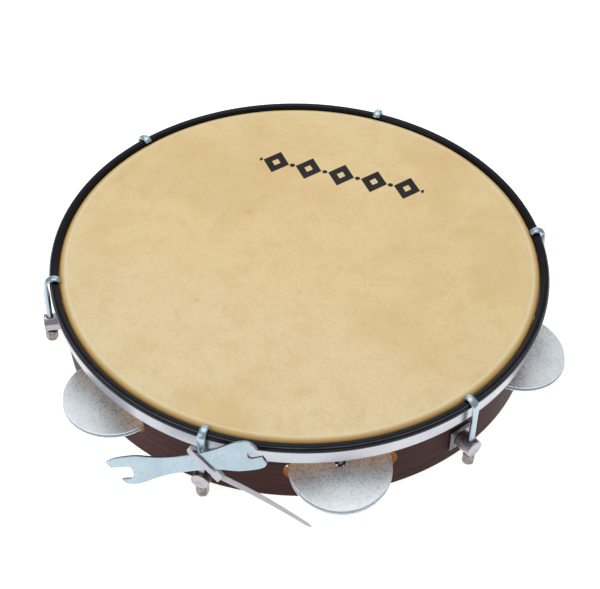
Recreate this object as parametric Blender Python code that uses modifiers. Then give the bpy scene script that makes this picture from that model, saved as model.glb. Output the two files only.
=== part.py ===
"""Ten-inch pandeiro: a shallow frame drum with five sets of jingles in its rim.

The drum lies on its open edge, skin up. The frame's origin is the centre of that
edge, +Z up. Sizes are in metres; MM turns a size in millimetres into metres.
"""

import math

import bmesh
import bpy
from mathutils import Matrix, Vector

MM = 0.001
GAP = 0.3 * MM                      # between pieces that touch
OVERSHOOT = 2.0 * MM                # how far a cutter runs past the face it opens
SMALL_SIDES = 10                    # facets round a screw, a pin or a bore

# --- turned rings -------------------------------------------------------------
RING_SEGMENTS = 60

SHELL_RADIUS = 127.0 * MM           # outside of the bent wooden rim
SHELL_WALL = 7.0 * MM
SHELL_HEIGHT = 43.3 * MM
BEARING_ROUND = 1.6 * MM            # round-over that the skin bends on
BEARING_BEVEL = 3.4 * MM            # bevel on the inside of the top edge
BASE_ROUND = 0.9 * MM

SKIN_THICKNESS = 0.6 * MM
COLLAR_DEPTH = 9.2 * MM             # how far the skin reaches down the shell

FLESH_HOOP_WIDTH = 2.0 * MM         # strip that the skin is tucked round
FLESH_HOOP_HEIGHT = 3.8 * MM
FLESH_HOOP_DROP = 0.4 * MM          # how far it hangs below the skin's edge

HOOP_WALL = 1.6 * MM                # bright steel counter-hoop
HOOP_HEIGHT = 9.6 * MM
HOOP_LEDGE = 2.0 * MM               # inner flange that presses the flesh hoop
HOOP_LEDGE_THICKNESS = 1.4 * MM
HOOP_ABOVE_LEDGE = 2.0 * MM

TRIM_RADIUS = 2.45 * MM             # round black edging on the hoop
TRIM_GRIP = 1.9 * MM                # how deep the hoop sits in the edging
TRIM_ARC_STEPS = 7

# --- tension hooks and lugs ---------------------------------------------------
LUG_COUNT = 6
FIRST_LUG_ANGLE = math.radians(158.0)
STRAY_LUG = 1                       # its hole is drilled a little off the pattern
STRAY_LUG_TURN = math.radians(3.5)
LUG_HEIGHT = 14.6 * MM              # height of the lug posts' axes

SHANK_RADIUS = 1.6 * MM
SHANK_FOOT = 3.2 * MM               # height of the shank's lower end
STRAP_HALF_WIDTH = 2.15 * MM        # the hook's flattened arch
STRAP_HALF_THICKNESS = 0.9 * MM
STRAP_BLEND = 7.0 * MM              # length over which round turns to flat
HOOK_STANDOFF = 0.25 * MM           # shank to edging
HOOK_WRAP = math.radians(146.0)
HOOK_ARCH_STEPS = 8
HOOK_SIDES = 8
STRAP_SQUARENESS = 3.0              # 2 is an ellipse; more is a rounder-cornered bar

PLATE_SIDE = 13.2 * MM
PLATE_THICKNESS = 0.8 * MM
PLATE_BEVEL = 1.5 * MM
PLATE_BEVEL_RISE = 0.9 * MM

POST_RADIUS = 4.7 * MM
POST_BEYOND_SHANK = 1.5 * MM        # metal left outside the shank's hole
POST_CHAMFER = 0.5 * MM
POST_SIDES = 16
BORE_CLEARANCE = 0.3 * MM           # round every shank, screw and pin

SCREW_RADIUS = 1.8 * MM
SCREW_HEAD_RADIUS = 3.8 * MM
SCREW_HEAD_HEIGHT = 2.2 * MM
SCREW_CROWN_SHARE = 0.7             # flat top of the head, as a share of its radius

NUT_ACROSS_FLATS = 5.8 * MM
NUT_HEIGHT = 6.8 * MM
NUT_CHAMFER = 0.6 * MM
NUT_BARREL_SIDES = 12

# --- jingles ------------------------------------------------------------------
JINGLE_GAP_INDEX = 0                # the space between lugs left for the hand
JINGLE_RADIUS = 26.0 * MM
JINGLE_SHEET = 0.8 * MM
JINGLE_DOME_RADIUS = 20.0 * MM      # where the shallow dome meets the flat brim
JINGLE_DOME_HEIGHT = 1.5 * MM
# the dome's section: share of the way out from the hole, share of its height
JINGLE_DOME_CURVE = ((0.0, 1.0), (0.42, 0.66), (1.0, 0.0))
JINGLE_HOLE_RADIUS = 2.7 * MM
DAMPER_RADIUS = 23.0 * MM
JINGLE_SEGMENTS = 24
JINGLE_LIFT = 1.4 * MM              # room under the lowest jingle
JINGLE_SHIFT = 0.6 * MM             # how far a pair has slipped off centre
SLOT_END_ROOM = 1.7 * MM            # past the jingle's rim at each end of the slot
SLOT_FLOOR = 13.6 * MM
SLOT_HEADROOM = 6.0 * MM            # over the stack, for the jingles to ring
SLOT_ARC_STEPS = 8
# how far each set droops outwards as the drum lies still, by space between lugs
JINGLE_DROOP = {1: math.radians(4.0), 2: math.radians(3.0), 3: math.radians(5.5),
                4: math.radians(12.0), 5: math.radians(2.0)}

PIN_RADIUS = 1.4 * MM
PIN_HEAD_RADIUS = 2.4 * MM
PIN_HEAD_HEIGHT = 0.8 * MM
PIN_RECESS = 1.4 * MM
PIN_REACH = 6.0 * MM                # length of pin above the slot

# --- tuning key and the tie that holds it -------------------------------------
KEY_LUG = 5
KEY_THICKNESS = 2.0 * MM
KEY_HEAD_WIDTH = 15.0 * MM
KEY_WAIST_WIDTH = 8.4 * MM
KEY_LENGTH = 78.9 * MM              # between the middles of its two slanting ends
KEY_LARGE_SLANT = math.radians(32.0)
KEY_SMALL_SLANT = math.radians(24.0)
KEY_SLANT_SHARE = 0.17              # of the length, over which a slant dies away
KEY_JAW_CLEARANCE = 0.4 * MM        # of the large jaw on a tension nut
KEY_LARGE_JAW_DEPTH = 9.8 * MM
KEY_LARGE_JAW_OFFSET = -0.6 * MM    # mouth's middle, off the key's centre line
KEY_SMALL_JAW = 3.6 * MM
KEY_SMALL_JAW_DEPTH = 6.5 * MM
KEY_SMALL_JAW_OFFSET = 0.4 * MM
KEY_JAW_TURN = math.radians(3.0)
KEY_YAW = math.radians(10.6)
KEY_RISE = math.radians(23.0)
KEY_LEAN = math.radians(25.0)
KEY_CROSSING = 45.2 * MM            # from the large end to where it meets its hook
KEY_HANG = 10.5 * MM                # from the edging's middle down to that crossing
KEY_ROOM = 2.15 * MM                # shank to the leaning key, at that crossing

TIE_HALF_WIDTH = 1.2 * MM
TIE_HALF_THICKNESS = 0.4 * MM
TIE_TURN = math.radians(34.0)       # the strap's slant across the key
TIE_OFFSET = 2.9 * MM               # strap's centre past the crossing
TIE_CORNER_ROOM = 0.4 * MM          # slack where the strap turns the key's edges
TIE_SHANK_ROOM = 0.1 * MM           # and where it turns the hook's shank
TIE_HEAD = (4.4 * MM, 4.2 * MM, 3.2 * MM)
TIE_HEAD_PAST_LOOP = 1.3 * MM       # head's middle past the loop's end
TIE_TAIL_SAG = 1.6 * MM
TIE_TIP = (0.2 * MM, 57.9 * MM, 2.6 * MM)     # out from the shank's axis, along, up
# the tail's half width, by share of the way to its tip
TIE_TAIL_TAPER = ((0.0, 1.2 * MM), (0.45, 1.1 * MM), (0.8, 0.9 * MM), (1.0, 0.7 * MM))

# --- places that follow from the sizes ----------------------------------------
SHELL_INNER = SHELL_RADIUS - SHELL_WALL
WALL_MIDDLE = SHELL_RADIUS - SHELL_WALL / 2
SKIN_INNER = SHELL_RADIUS + GAP
SKIN_OUTER = SKIN_INNER + SKIN_THICKNESS
SKIN_UNDERSIDE = SHELL_HEIGHT + GAP
SKIN_TOP = SKIN_UNDERSIDE + SKIN_THICKNESS
COLLAR_FOOT = SKIN_TOP - COLLAR_DEPTH

FLESH_INNER = SKIN_OUTER + GAP
FLESH_OUTER = FLESH_INNER + FLESH_HOOP_WIDTH
FLESH_FOOT = COLLAR_FOOT - FLESH_HOOP_DROP
FLESH_TOP = FLESH_FOOT + FLESH_HOOP_HEIGHT

HOOP_INNER = FLESH_OUTER + GAP
HOOP_OUTER = HOOP_INNER + HOOP_WALL
LEDGE_UNDERSIDE = FLESH_TOP + GAP
LEDGE_TOP = LEDGE_UNDERSIDE + HOOP_LEDGE_THICKNESS
HOOP_TOP = LEDGE_TOP + HOOP_ABOVE_LEDGE
HOOP_FOOT = HOOP_TOP - HOOP_HEIGHT

TRIM_CENTRE_RADIUS = (HOOP_INNER + HOOP_OUTER) / 2
TRIM_CENTRE_HEIGHT = HOOP_TOP + GAP + TRIM_RADIUS - TRIM_GRIP

SHANK_AXIS = TRIM_CENTRE_RADIUS + TRIM_RADIUS + HOOK_STANDOFF + SHANK_RADIUS
PLATE_BACK = SHELL_RADIUS + GAP
PLATE_FRONT = PLATE_BACK + PLATE_THICKNESS + PLATE_BEVEL_RISE
POST_BACK = PLATE_FRONT + GAP
POST_FRONT = SHANK_AXIS + SHANK_RADIUS + BORE_CLEARANCE + POST_BEYOND_SHANK
SCREW_TIP = SHANK_AXIS - SHANK_RADIUS - 2 * BORE_CLEARANCE - GAP
NUT_TOP = LUG_HEIGHT - POST_RADIUS - GAP

# from a domed jingle's hole to the flat damper's, square to the discs
JINGLE_STEP = JINGLE_DOME_HEIGHT + JINGLE_SHEET + GAP
SLOT_HALF_LENGTH = JINGLE_RADIUS + SLOT_END_ROOM
SLOT_HEIGHT = JINGLE_LIFT + 2 * JINGLE_STEP + JINGLE_SHEET + SLOT_HEADROOM
SLOT_TOP = SLOT_FLOOR + SLOT_HEIGHT
KEY_CROSSING_HEIGHT = TRIM_CENTRE_HEIGHT - KEY_HANG
KEY_STANDOFF = SHANK_RADIUS + KEY_ROOM + KEY_THICKNESS / 2
KEY_LARGE_JAW = NUT_ACROSS_FLATS + KEY_JAW_CLEARANCE


def lug_angle(index):
    """Bearing of a lug; they run clockwise, seen from above, from the first."""
    turn = STRAY_LUG_TURN if index == STRAY_LUG else 0.0
    return FIRST_LUG_ANGLE - index * math.tau / LUG_COUNT + turn


def space_angle(index):
    """Bearing of the middle of the space that follows a lug."""
    return FIRST_LUG_ANGLE - (index + 0.5) * math.tau / LUG_COUNT


def place(angle, radius=0.0, height=0.0):
    """A frame on the drum: X outwards, Y along the rim, Z up."""
    return Matrix.Rotation(angle, 4, 'Z') @ Matrix.Translation((radius, 0, height))


def lying_frame(index):
    """Z points outwards along a lug's axis, from the drum's middle."""
    return place(lug_angle(index), 0, LUG_HEIGHT) @ Matrix.Rotation(math.pi / 2, 4, 'Y')


# --- helpers ------------------------------------------------------------------
def clear_scene():
    for old in list(bpy.data.objects):
        bpy.data.objects.remove(old, do_unlink=True)


def collection(name):
    group = bpy.data.collections.new(name)
    bpy.context.scene.collection.children.link(group)
    return group


def material(name, colour, roughness, metallic=0.0):
    made = bpy.data.materials.new(name)
    made.use_nodes = True
    shader = made.node_tree.nodes['Principled BSDF']
    shader.inputs['Base Color'].default_value = (*colour, 1.0)
    shader.inputs['Roughness'].default_value = roughness
    shader.inputs['Metallic'].default_value = metallic
    made.diffuse_color = (*colour, 1.0)
    return made


def add_object(name, mesh, group, matrix=None):
    made = bpy.data.objects.new(name, mesh)
    group.objects.link(made)
    if matrix is not None:
        made.matrix_world = matrix
    return made


def finish(part, finish_material, sharp_degrees=35):
    """Give a piece its material and smooth shading with sharp edges kept."""
    part.data.materials.clear()
    part.data.materials.append(finish_material)
    part.data.shade_smooth()
    part.data.set_sharp_from_angle(angle=math.radians(sharp_degrees))
    return part


def baked(source, name, group):
    """A plain mesh copy of what an object evaluates to; the source is removed."""
    bpy.context.view_layer.update()
    depsgraph = bpy.context.evaluated_depsgraph_get()
    mesh = bpy.data.meshes.new_from_object(source.evaluated_get(depsgraph))
    matrix = source.matrix_world.copy()
    bpy.data.objects.remove(source, do_unlink=True)
    shape = bmesh.new()
    shape.from_mesh(mesh)
    bmesh.ops.remove_doubles(shape, verts=shape.verts, dist=1e-6)
    bmesh.ops.recalc_face_normals(shape, faces=shape.faces)
    shape.to_mesh(mesh)
    shape.free()
    mesh.name = name
    return add_object(name, mesh, group, matrix)


def arc(centre, radius, start_degrees, end_degrees, steps):
    """Points along an arc of (radius, height) pairs, both ends included."""
    points = []
    for step in range(steps + 1):
        angle = math.radians(start_degrees + (end_degrees - start_degrees) * step / steps)
        points.append((centre[0] + radius * math.cos(angle),
                       centre[1] + radius * math.sin(angle)))
    return points


def turned(name, profile, group, segments, matrix=None, closed=True):
    """A profile of (radius, height) points, down its outer side, turned round Z."""
    mesh = bpy.data.meshes.new(name)
    count = len(profile)
    edges = [(i, i + 1) for i in range(count - 1)]
    if closed:
        edges.append((count - 1, 0))
    mesh.from_pydata([(r, 0.0, h) for r, h in profile], edges, [])
    made = add_object(name, mesh, group, matrix)
    screw = made.modifiers.new('turn', 'SCREW')
    screw.axis = 'Z'
    screw.angle = math.tau
    screw.steps = segments
    screw.render_steps = segments
    screw.use_merge_vertices = True
    screw.merge_threshold = 0.00001
    return made


def prism(name, outline, depth, group, matrix=None):
    """A flat outline in X and Y with its thickness centred on Z."""
    curve = bpy.data.curves.new(name, 'CURVE')
    curve.dimensions = '2D'
    curve.fill_mode = 'BOTH'
    curve.extrude = depth / 2
    line = curve.splines.new('POLY')
    line.points.add(len(outline) - 1)
    for point, (x, y) in zip(line.points, outline):
        point.co = (x, y, 0.0, 1.0)
    line.use_cyclic_u = True
    return baked(add_object(name, curve, group, matrix), name, group)


def loft(name, stations, group, matrix=None, closed=False):
    """A skin over rings of points that all have the same count."""
    shape = bmesh.new()
    rings = [[shape.verts.new(point) for point in ring] for ring in stations]
    count = len(rings[0])
    last = len(rings) if closed else len(rings) - 1
    for i in range(last):
        here, after = rings[i], rings[(i + 1) % len(rings)]
        for j in range(count):
            k = (j + 1) % count
            shape.faces.new((here[j], here[k], after[k], after[j]))
    if not closed:
        shape.faces.new(reversed(rings[0]))
        shape.faces.new(rings[-1])
    bmesh.ops.recalc_face_normals(shape, faces=shape.faces)
    mesh = bpy.data.meshes.new(name)
    shape.to_mesh(mesh)
    shape.free()
    return add_object(name, mesh, group, matrix)


def combine(part, other, operation):
    """A Boolean of two mesh objects; the second is kept as a hidden cutter."""
    step = part.modifiers.new(operation.lower(), 'BOOLEAN')
    step.operation = operation
    step.solver = 'EXACT'
    step.object = other
    other.hide_render = True
    other.display_type = 'WIRE'
    return part


def cut_all(part, group):
    """Cut a piece by every object of a collection."""
    step = part.modifiers.new('cuts', 'BOOLEAN')
    step.operation = 'DIFFERENCE'
    step.solver = 'EXACT'
    step.operand_type = 'COLLECTION'
    step.collection = group
    for cutter in group.objects:
        cutter.hide_render = True
        cutter.display_type = 'WIRE'


def round_bar(name, length_points, group, sides, matrix):
    """A solid bar turned round Z from (radius, height) points, top to bottom."""
    top = length_points[0][1]
    bottom = length_points[-1][1]
    profile = [(0.0, top)] + list(length_points) + [(0.0, bottom)]
    return turned(name, profile, group, sides, matrix, closed=False)


# --- shell --------------------------------------------------------------------
def slot_cutter(index, group):
    half_height = SLOT_HEIGHT / 2
    straight = SLOT_HALF_LENGTH - half_height
    outline = arc((straight, 0), half_height, -90, 90, SLOT_ARC_STEPS)
    outline += arc((-straight, 0), half_height, 90, 270, SLOT_ARC_STEPS)
    # outline's X runs along the rim and its Y runs up
    turn = Matrix.Rotation(math.pi / 2, 4, 'Z') @ Matrix.Rotation(math.pi / 2, 4, 'X')
    matrix = place(space_angle(index), WALL_MIDDLE, SLOT_FLOOR + half_height) @ turn
    # the wall curves away from a flat slot, so the cutter is as deep as it is high
    depth = 2 * (SHELL_WALL + OVERSHOOT)
    return prism(f'slot_cutter_{index}', outline, depth, group, matrix)


def shell_profile():
    outer = arc((SHELL_RADIUS - BEARING_ROUND, SHELL_HEIGHT - BEARING_ROUND),
                BEARING_ROUND, 90, 0, 3)
    outer += arc((SHELL_RADIUS - BASE_ROUND, BASE_ROUND), BASE_ROUND, 0, -90, 2)
    inner = arc((SHELL_INNER + BASE_ROUND, BASE_ROUND), BASE_ROUND, -90, -180, 2)
    inner.append((SHELL_INNER, SHELL_HEIGHT - BEARING_BEVEL))
    inner.append((SHELL_INNER + BEARING_BEVEL, SHELL_HEIGHT))
    return outer + inner


def make_shell(group, cutters, wood):
    shell = turned('shell', shell_profile(), group, RING_SEGMENTS)
    slots = bpy.data.collections.new('jingle_slots')
    screw_holes = bpy.data.collections.new('screw_holes')
    pin_holes = bpy.data.collections.new('pin_holes')
    for holes in (slots, screw_holes, pin_holes):
        cutters.children.link(holes)
    for index in JINGLE_DROOP:
        slot_cutter(index, slots)
        bore = PIN_RADIUS + BORE_CLEARANCE
        recess = PIN_HEAD_RADIUS + BORE_CLEARANCE
        top = SLOT_TOP + PIN_REACH + GAP
        round_bar(f'pin_hole_{index}',
                  [(bore, top), (bore, PIN_RECESS), (recess, PIN_RECESS), (recess, -OVERSHOOT)],
                  pin_holes, SMALL_SIDES, place(space_angle(index), WALL_MIDDLE))
    for index in range(LUG_COUNT):
        radius = SCREW_RADIUS + BORE_CLEARANCE
        round_bar(f'screw_hole_{index}',
                  [(radius, SHELL_RADIUS + OVERSHOOT), (radius, SHELL_INNER - OVERSHOOT)],
                  screw_holes, SMALL_SIDES, lying_frame(index))
    for holes in (slots, screw_holes, pin_holes):
        cut_all(shell, holes)
    return finish(shell, wood)


# --- skin and hoops -----------------------------------------------------------
def make_head(group, skin):
    outer_round = BEARING_ROUND + GAP + SKIN_THICKNESS
    inner_round = BEARING_ROUND + GAP
    centre = (SKIN_OUTER - outer_round, SKIN_TOP - outer_round)
    profile = [(0.0, SKIN_TOP)]
    profile += arc(centre, outer_round, 90, 0, 3)
    profile += [(SKIN_OUTER, COLLAR_FOOT), (SKIN_INNER, COLLAR_FOOT)]
    profile += arc(centre, inner_round, 0, 90, 3)
    profile += [(0.0, SKIN_UNDERSIDE)]
    return finish(turned('head', profile, group, RING_SEGMENTS, closed=False), skin)


def make_flesh_hoop(group, steel):
    profile = [(FLESH_OUTER, FLESH_TOP), (FLESH_OUTER, FLESH_FOOT),
               (FLESH_INNER, FLESH_FOOT), (FLESH_INNER, FLESH_TOP)]
    return finish(turned('flesh_hoop', profile, group, RING_SEGMENTS), steel)


def make_counter_hoop(group, steel):
    ledge_inner = HOOP_INNER - HOOP_LEDGE
    profile = [(HOOP_OUTER, HOOP_TOP), (HOOP_OUTER, HOOP_FOOT), (HOOP_INNER, HOOP_FOOT),
               (HOOP_INNER, LEDGE_UNDERSIDE), (ledge_inner, LEDGE_UNDERSIDE),
               (ledge_inner, LEDGE_TOP), (HOOP_INNER, LEDGE_TOP), (HOOP_INNER, HOOP_TOP)]
    return finish(turned('counter_hoop', profile, group, RING_SEGMENTS), steel)


def make_trim(group, plastic):
    half_slit = HOOP_WALL / 2 + GAP
    lip = math.degrees(math.acos(half_slit / TRIM_RADIUS))
    centre = (TRIM_CENTRE_RADIUS, TRIM_CENTRE_HEIGHT)
    profile = arc(centre, TRIM_RADIUS, 180 + lip, -lip, TRIM_ARC_STEPS)
    profile += [(TRIM_CENTRE_RADIUS + half_slit, HOOP_TOP + GAP),
                (TRIM_CENTRE_RADIUS - half_slit, HOOP_TOP + GAP)]
    return finish(turned('hoop_trim', profile, group, RING_SEGMENTS), plastic)


# --- hooks, lugs and nuts -----------------------------------------------------
def section(centre, across, along, half_across, half_along, sides, squareness=2.0):
    """A ring of points: an ellipse, or a rounder rectangle as squareness grows."""
    ring = []
    for side in range(sides):
        angle = math.tau * (side + 0.5) / sides
        c, s = math.cos(angle), math.sin(angle)
        x = math.copysign(abs(c) ** (2 / squareness), c) * half_across
        y = math.copysign(abs(s) ** (2 / squareness), s) * half_along
        ring.append(centre + across * x + along * y)
    return ring


def hook_stations():
    """Rings up the round shank, then over the edging as a flattened strap."""
    along = Vector((0, 1, 0))
    out = Vector((1, 0, 0))
    shoulder = TRIM_CENTRE_HEIGHT
    rings = []
    for height in (SHANK_FOOT, NUT_TOP + 2 * POST_RADIUS, shoulder - STRAP_BLEND):
        rings.append(section(Vector((SHANK_AXIS, 0, height)), out, along,
                             SHANK_RADIUS, SHANK_RADIUS, HOOK_SIDES))
    outer_span = SHANK_AXIS - TRIM_CENTRE_RADIUS
    rise = TRIM_RADIUS + GAP + STRAP_HALF_THICKNESS
    for step in range(HOOK_ARCH_STEPS + 1):
        angle = HOOK_WRAP * step / HOOK_ARCH_STEPS
        half_span = outer_span if angle < math.pi / 2 else rise
        centre = Vector((TRIM_CENTRE_RADIUS + half_span * math.cos(angle), 0,
                         TRIM_CENTRE_HEIGHT + rise * math.sin(angle)))
        normal = Vector((math.cos(angle) / half_span, 0, math.sin(angle) / rise))
        rings.append(section(centre, normal.normalized(), along, STRAP_HALF_THICKNESS,
                             STRAP_HALF_WIDTH, HOOK_SIDES, STRAP_SQUARENESS))
    return rings


def make_hook(index, group, zinc):
    hook = loft(f'tension_hook_{index + 1}', hook_stations(), group, place(lug_angle(index)))
    return finish(hook, zinc)


def make_plate(index, group, cutters, nickel):
    half = PLATE_SIDE / 2
    shape = bmesh.new()
    bmesh.ops.create_cube(shape, size=1.0)
    bmesh.ops.scale(shape, vec=(PLATE_SIDE, PLATE_SIDE, PLATE_THICKNESS), verts=shape.verts)
    bmesh.ops.translate(shape, vec=(0, 0, PLATE_THICKNESS / 2), verts=shape.verts)
    front = max(shape.faces, key=lambda face: face.calc_center_median().z)
    raised = bmesh.ops.extrude_discrete_faces(shape, faces=[front])['faces'][0]
    corners = list(raised.verts)
    bmesh.ops.translate(shape, vec=(0, 0, PLATE_BEVEL_RISE), verts=corners)
    inset = (half - PLATE_BEVEL) / half
    bmesh.ops.scale(shape, vec=(inset, inset, 1), verts=corners)
    mesh = bpy.data.meshes.new('lug_plate')
    shape.to_mesh(mesh)
    shape.free()
    matrix = lying_frame(index) @ Matrix.Translation((0, 0, PLATE_BACK))
    plate = add_object(f'lug_plate_{index + 1}', mesh, group, matrix)
    radius = SCREW_RADIUS + BORE_CLEARANCE
    hole = round_bar(f'plate_hole_{index}',
                     [(radius, PLATE_FRONT - PLATE_BACK + OVERSHOOT), (radius, -OVERSHOOT)],
                     cutters, SMALL_SIDES, matrix)
    return finish(combine(plate, hole, 'DIFFERENCE'), nickel)


def make_post(index, group, cutters, nickel):
    lying = lying_frame(index)
    post = round_bar(f'lug_post_{index + 1}',
                     [(POST_RADIUS - POST_CHAMFER, POST_FRONT),
                      (POST_RADIUS, POST_FRONT - POST_CHAMFER),
                      (POST_RADIUS, POST_BACK)], group, POST_SIDES, lying)
    shank_bore = SHANK_RADIUS + BORE_CLEARANCE
    across = round_bar(f'shank_bore_{index}',
                       [(shank_bore, POST_RADIUS + OVERSHOOT),
                        (shank_bore, -POST_RADIUS - OVERSHOOT)],
                       cutters, SMALL_SIDES, place(lug_angle(index), SHANK_AXIS, LUG_HEIGHT))
    screw_bore = SCREW_RADIUS + BORE_CLEARANCE
    blind = round_bar(f'screw_bore_{index}',
                      [(screw_bore, SCREW_TIP + GAP), (screw_bore, POST_BACK - OVERSHOOT)],
                      cutters, SMALL_SIDES, lying)
    combine(post, across, 'DIFFERENCE')
    combine(post, blind, 'DIFFERENCE')
    return finish(post, nickel)


def make_screw(index, group, steel):
    under_head = SHELL_INNER - GAP
    crown = under_head - SCREW_HEAD_HEIGHT
    screw = round_bar(f'lug_screw_{index + 1}',
                      [(SCREW_RADIUS, SCREW_TIP), (SCREW_RADIUS, under_head),
                       (SCREW_HEAD_RADIUS, under_head),
                       (SCREW_HEAD_RADIUS, crown + SCREW_HEAD_HEIGHT / 2),
                       (SCREW_HEAD_RADIUS * SCREW_CROWN_SHARE, crown)],
                      group, SMALL_SIDES, lying_frame(index))
    return finish(screw, steel)


def make_nut(index, group, cutters, nickel):
    matrix = place(lug_angle(index), SHANK_AXIS, NUT_TOP - NUT_HEIGHT)
    across_corners = NUT_ACROSS_FLATS / math.cos(math.pi / 6) / 2
    shape = bmesh.new()
    bmesh.ops.create_cone(shape, cap_ends=True, segments=6, radius1=across_corners,
                          radius2=across_corners, depth=NUT_HEIGHT)
    bmesh.ops.translate(shape, vec=(0, 0, NUT_HEIGHT / 2), verts=shape.verts)
    mesh = bpy.data.meshes.new('tension_nut')
    shape.to_mesh(mesh)
    shape.free()
    nut = add_object(f'tension_nut_{index + 1}', mesh, group, matrix)
    flat = NUT_ACROSS_FLATS / 2
    barrel = round_bar(f'nut_barrel_{index}',
                       [(flat, NUT_HEIGHT), (across_corners, NUT_HEIGHT - NUT_CHAMFER),
                        (across_corners, NUT_CHAMFER), (flat, 0)],
                       cutters, NUT_BARREL_SIDES, matrix)
    bore = SHANK_RADIUS + BORE_CLEARANCE
    hole = round_bar(f'nut_bore_{index}',
                     [(bore, NUT_HEIGHT + OVERSHOOT), (bore, -OVERSHOOT)],
                     cutters, SMALL_SIDES, matrix)
    combine(nut, barrel, 'INTERSECT')
    combine(nut, hole, 'DIFFERENCE')
    return finish(nut, nickel)


# --- jingles ------------------------------------------------------------------
def domed_profile(side):
    """A jingle's section; side is 1 with the dome rising and -1 with it sinking."""
    upper = []
    for out, rise in JINGLE_DOME_CURVE:
        radius = JINGLE_HOLE_RADIUS + (JINGLE_DOME_RADIUS - JINGLE_HOLE_RADIUS) * out
        upper.append((radius, side * JINGLE_DOME_HEIGHT * (rise - 1) + JINGLE_SHEET / 2))
    upper.append((JINGLE_RADIUS, upper[-1][1]))
    lower = [(r, h - JINGLE_SHEET) for r, h in reversed(upper)]
    return upper + lower


def flat_profile():
    half = JINGLE_SHEET / 2
    return [(JINGLE_HOLE_RADIUS, half), (DAMPER_RADIUS, half),
            (DAMPER_RADIUS, -half), (JINGLE_HOLE_RADIUS, -half)]


def make_jingle_set(index, number, group, steels):
    droop = JINGLE_DROOP[index]
    height = SLOT_FLOOR + JINGLE_LIFT + JINGLE_SHEET / 2
    layers = (('lower', domed_profile(-1), JINGLE_SHIFT), ('damper', flat_profile(), 0.0),
              ('upper', domed_profile(1), -JINGLE_SHIFT))
    for layer, (label, profile, shift) in enumerate(layers):
        rise = height + layer * JINGLE_STEP / math.cos(droop)
        matrix = place(space_angle(index), WALL_MIDDLE + shift, rise)
        matrix = matrix @ Matrix.Rotation(droop, 4, 'Y')
        disc = turned(f'jingle_{label}_{number}', profile, group, JINGLE_SEGMENTS, matrix)
        finish(disc, steels[label])


def make_pin(index, number, group, steel):
    head_top = PIN_RECESS - GAP
    pin = round_bar(f'jingle_pin_{number}',
                    [(PIN_RADIUS, SLOT_TOP + PIN_REACH), (PIN_RADIUS, head_top),
                     (PIN_HEAD_RADIUS, head_top), (PIN_HEAD_RADIUS, head_top - PIN_HEAD_HEIGHT)],
                    group, SMALL_SIDES, place(space_angle(index), WALL_MIDDLE))
    return finish(pin, steel)


# --- tuning key and its tie ---------------------------------------------------
def key_frame():
    """X along the key from its large end, Y across it, Z out of its outer face."""
    stand = (Matrix.Rotation(math.pi / 2, 4, 'Z') @ Matrix.Rotation(math.pi / 2, 4, 'X'))
    turn = (Matrix.Rotation(KEY_YAW, 4, 'Z') @ Matrix.Rotation(KEY_RISE, 4, 'X')
            @ Matrix.Rotation(-KEY_LEAN, 4, 'Y'))
    crossing = place(lug_angle(KEY_LUG), SHANK_AXIS + KEY_STANDOFF, KEY_CROSSING_HEIGHT)
    return crossing @ turn @ stand @ Matrix.Translation((-KEY_CROSSING, 0, 0))


def key_edge():
    """Half widths along the key swell from the waist to the two rounded heads."""
    waist, head = KEY_WAIST_WIDTH / 2, KEY_HEAD_WIDTH / 2
    stations = [(0.00, 0.42), (0.015, 0.72), (0.05, 0.94), (0.10, 1.00), (0.17, 0.92),
                (0.28, 0.38), (0.38, 0.08), (0.50, 0.00)]
    edge = []
    for share, swell in stations:
        edge.append((share * KEY_LENGTH, waist + (head - waist) * swell))
    return edge + [(KEY_LENGTH - x, y) for x, y in reversed(edge[:-1])]


def key_half_width(length):
    """The key's half width at a length from its large end."""
    edge = key_edge()
    for (x0, y0), (x1, y1) in zip(edge, edge[1:]):
        if x0 <= length <= x1:
            return y0 + (y1 - y0) * (length - x0) / (x1 - x0)
    return edge[-1][1]


def key_outline():
    """Both edges of the key, slanted at its ends so that one prong reaches further."""
    edge = key_edge()
    outline = []
    for x, y in edge + [(x, -y) for x, y in reversed(edge)]:
        from_end = min(x, KEY_LENGTH - x) / (KEY_LENGTH * KEY_SLANT_SHARE)
        slant = KEY_LARGE_SLANT if x < KEY_LENGTH / 2 else KEY_SMALL_SLANT
        outline.append((x - y * math.tan(slant) * max(0.0, 1 - from_end), y))
    return outline


def jaw_cutter(name, jaw, mouth, depth, turn, group, matrix):
    """An open spanner jaw: parallel flats, then the two inner faces of a hexagon."""
    half = jaw / 2
    base = half * math.tan(math.pi / 6)
    reach = 3 * jaw
    outline = [(-reach, half), (depth - half, half), (depth, base),
               (depth, -base), (depth - half, -half), (-reach, -half)]
    local = Matrix.Translation((*mouth, 0)) @ Matrix.Rotation(turn, 4, 'Z')
    return prism(name, outline, KEY_THICKNESS + 2 * OVERSHOOT, group, matrix @ local)


def make_key(group, cutters, zinc):
    frame = key_frame()
    key = prism('tuning_key', key_outline(), KEY_THICKNESS, group, frame)
    large = jaw_cutter('large_jaw', KEY_LARGE_JAW, (0, KEY_LARGE_JAW_OFFSET),
                       KEY_LARGE_JAW_DEPTH, -KEY_JAW_TURN, cutters, frame)
    small = jaw_cutter('small_jaw', KEY_SMALL_JAW, (KEY_LENGTH, KEY_SMALL_JAW_OFFSET),
                       KEY_SMALL_JAW_DEPTH, math.pi + KEY_JAW_TURN, cutters, frame)
    combine(key, large, 'DIFFERENCE')
    combine(key, small, 'DIFFERENCE')
    return finish(key, zinc)


def oval(centre, along, half_along, half_across, samples=20):
    """Points round an ellipse in a plane; along is the direction of one axis."""
    points = []
    for x, y in arc((0, 0), 1.0, 0, 360, samples)[:-1]:
        points.append((centre[0] + along[0] * x * half_along - along[1] * y * half_across,
                       centre[1] + along[1] * x * half_along + along[0] * y * half_across))
    return points


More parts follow.
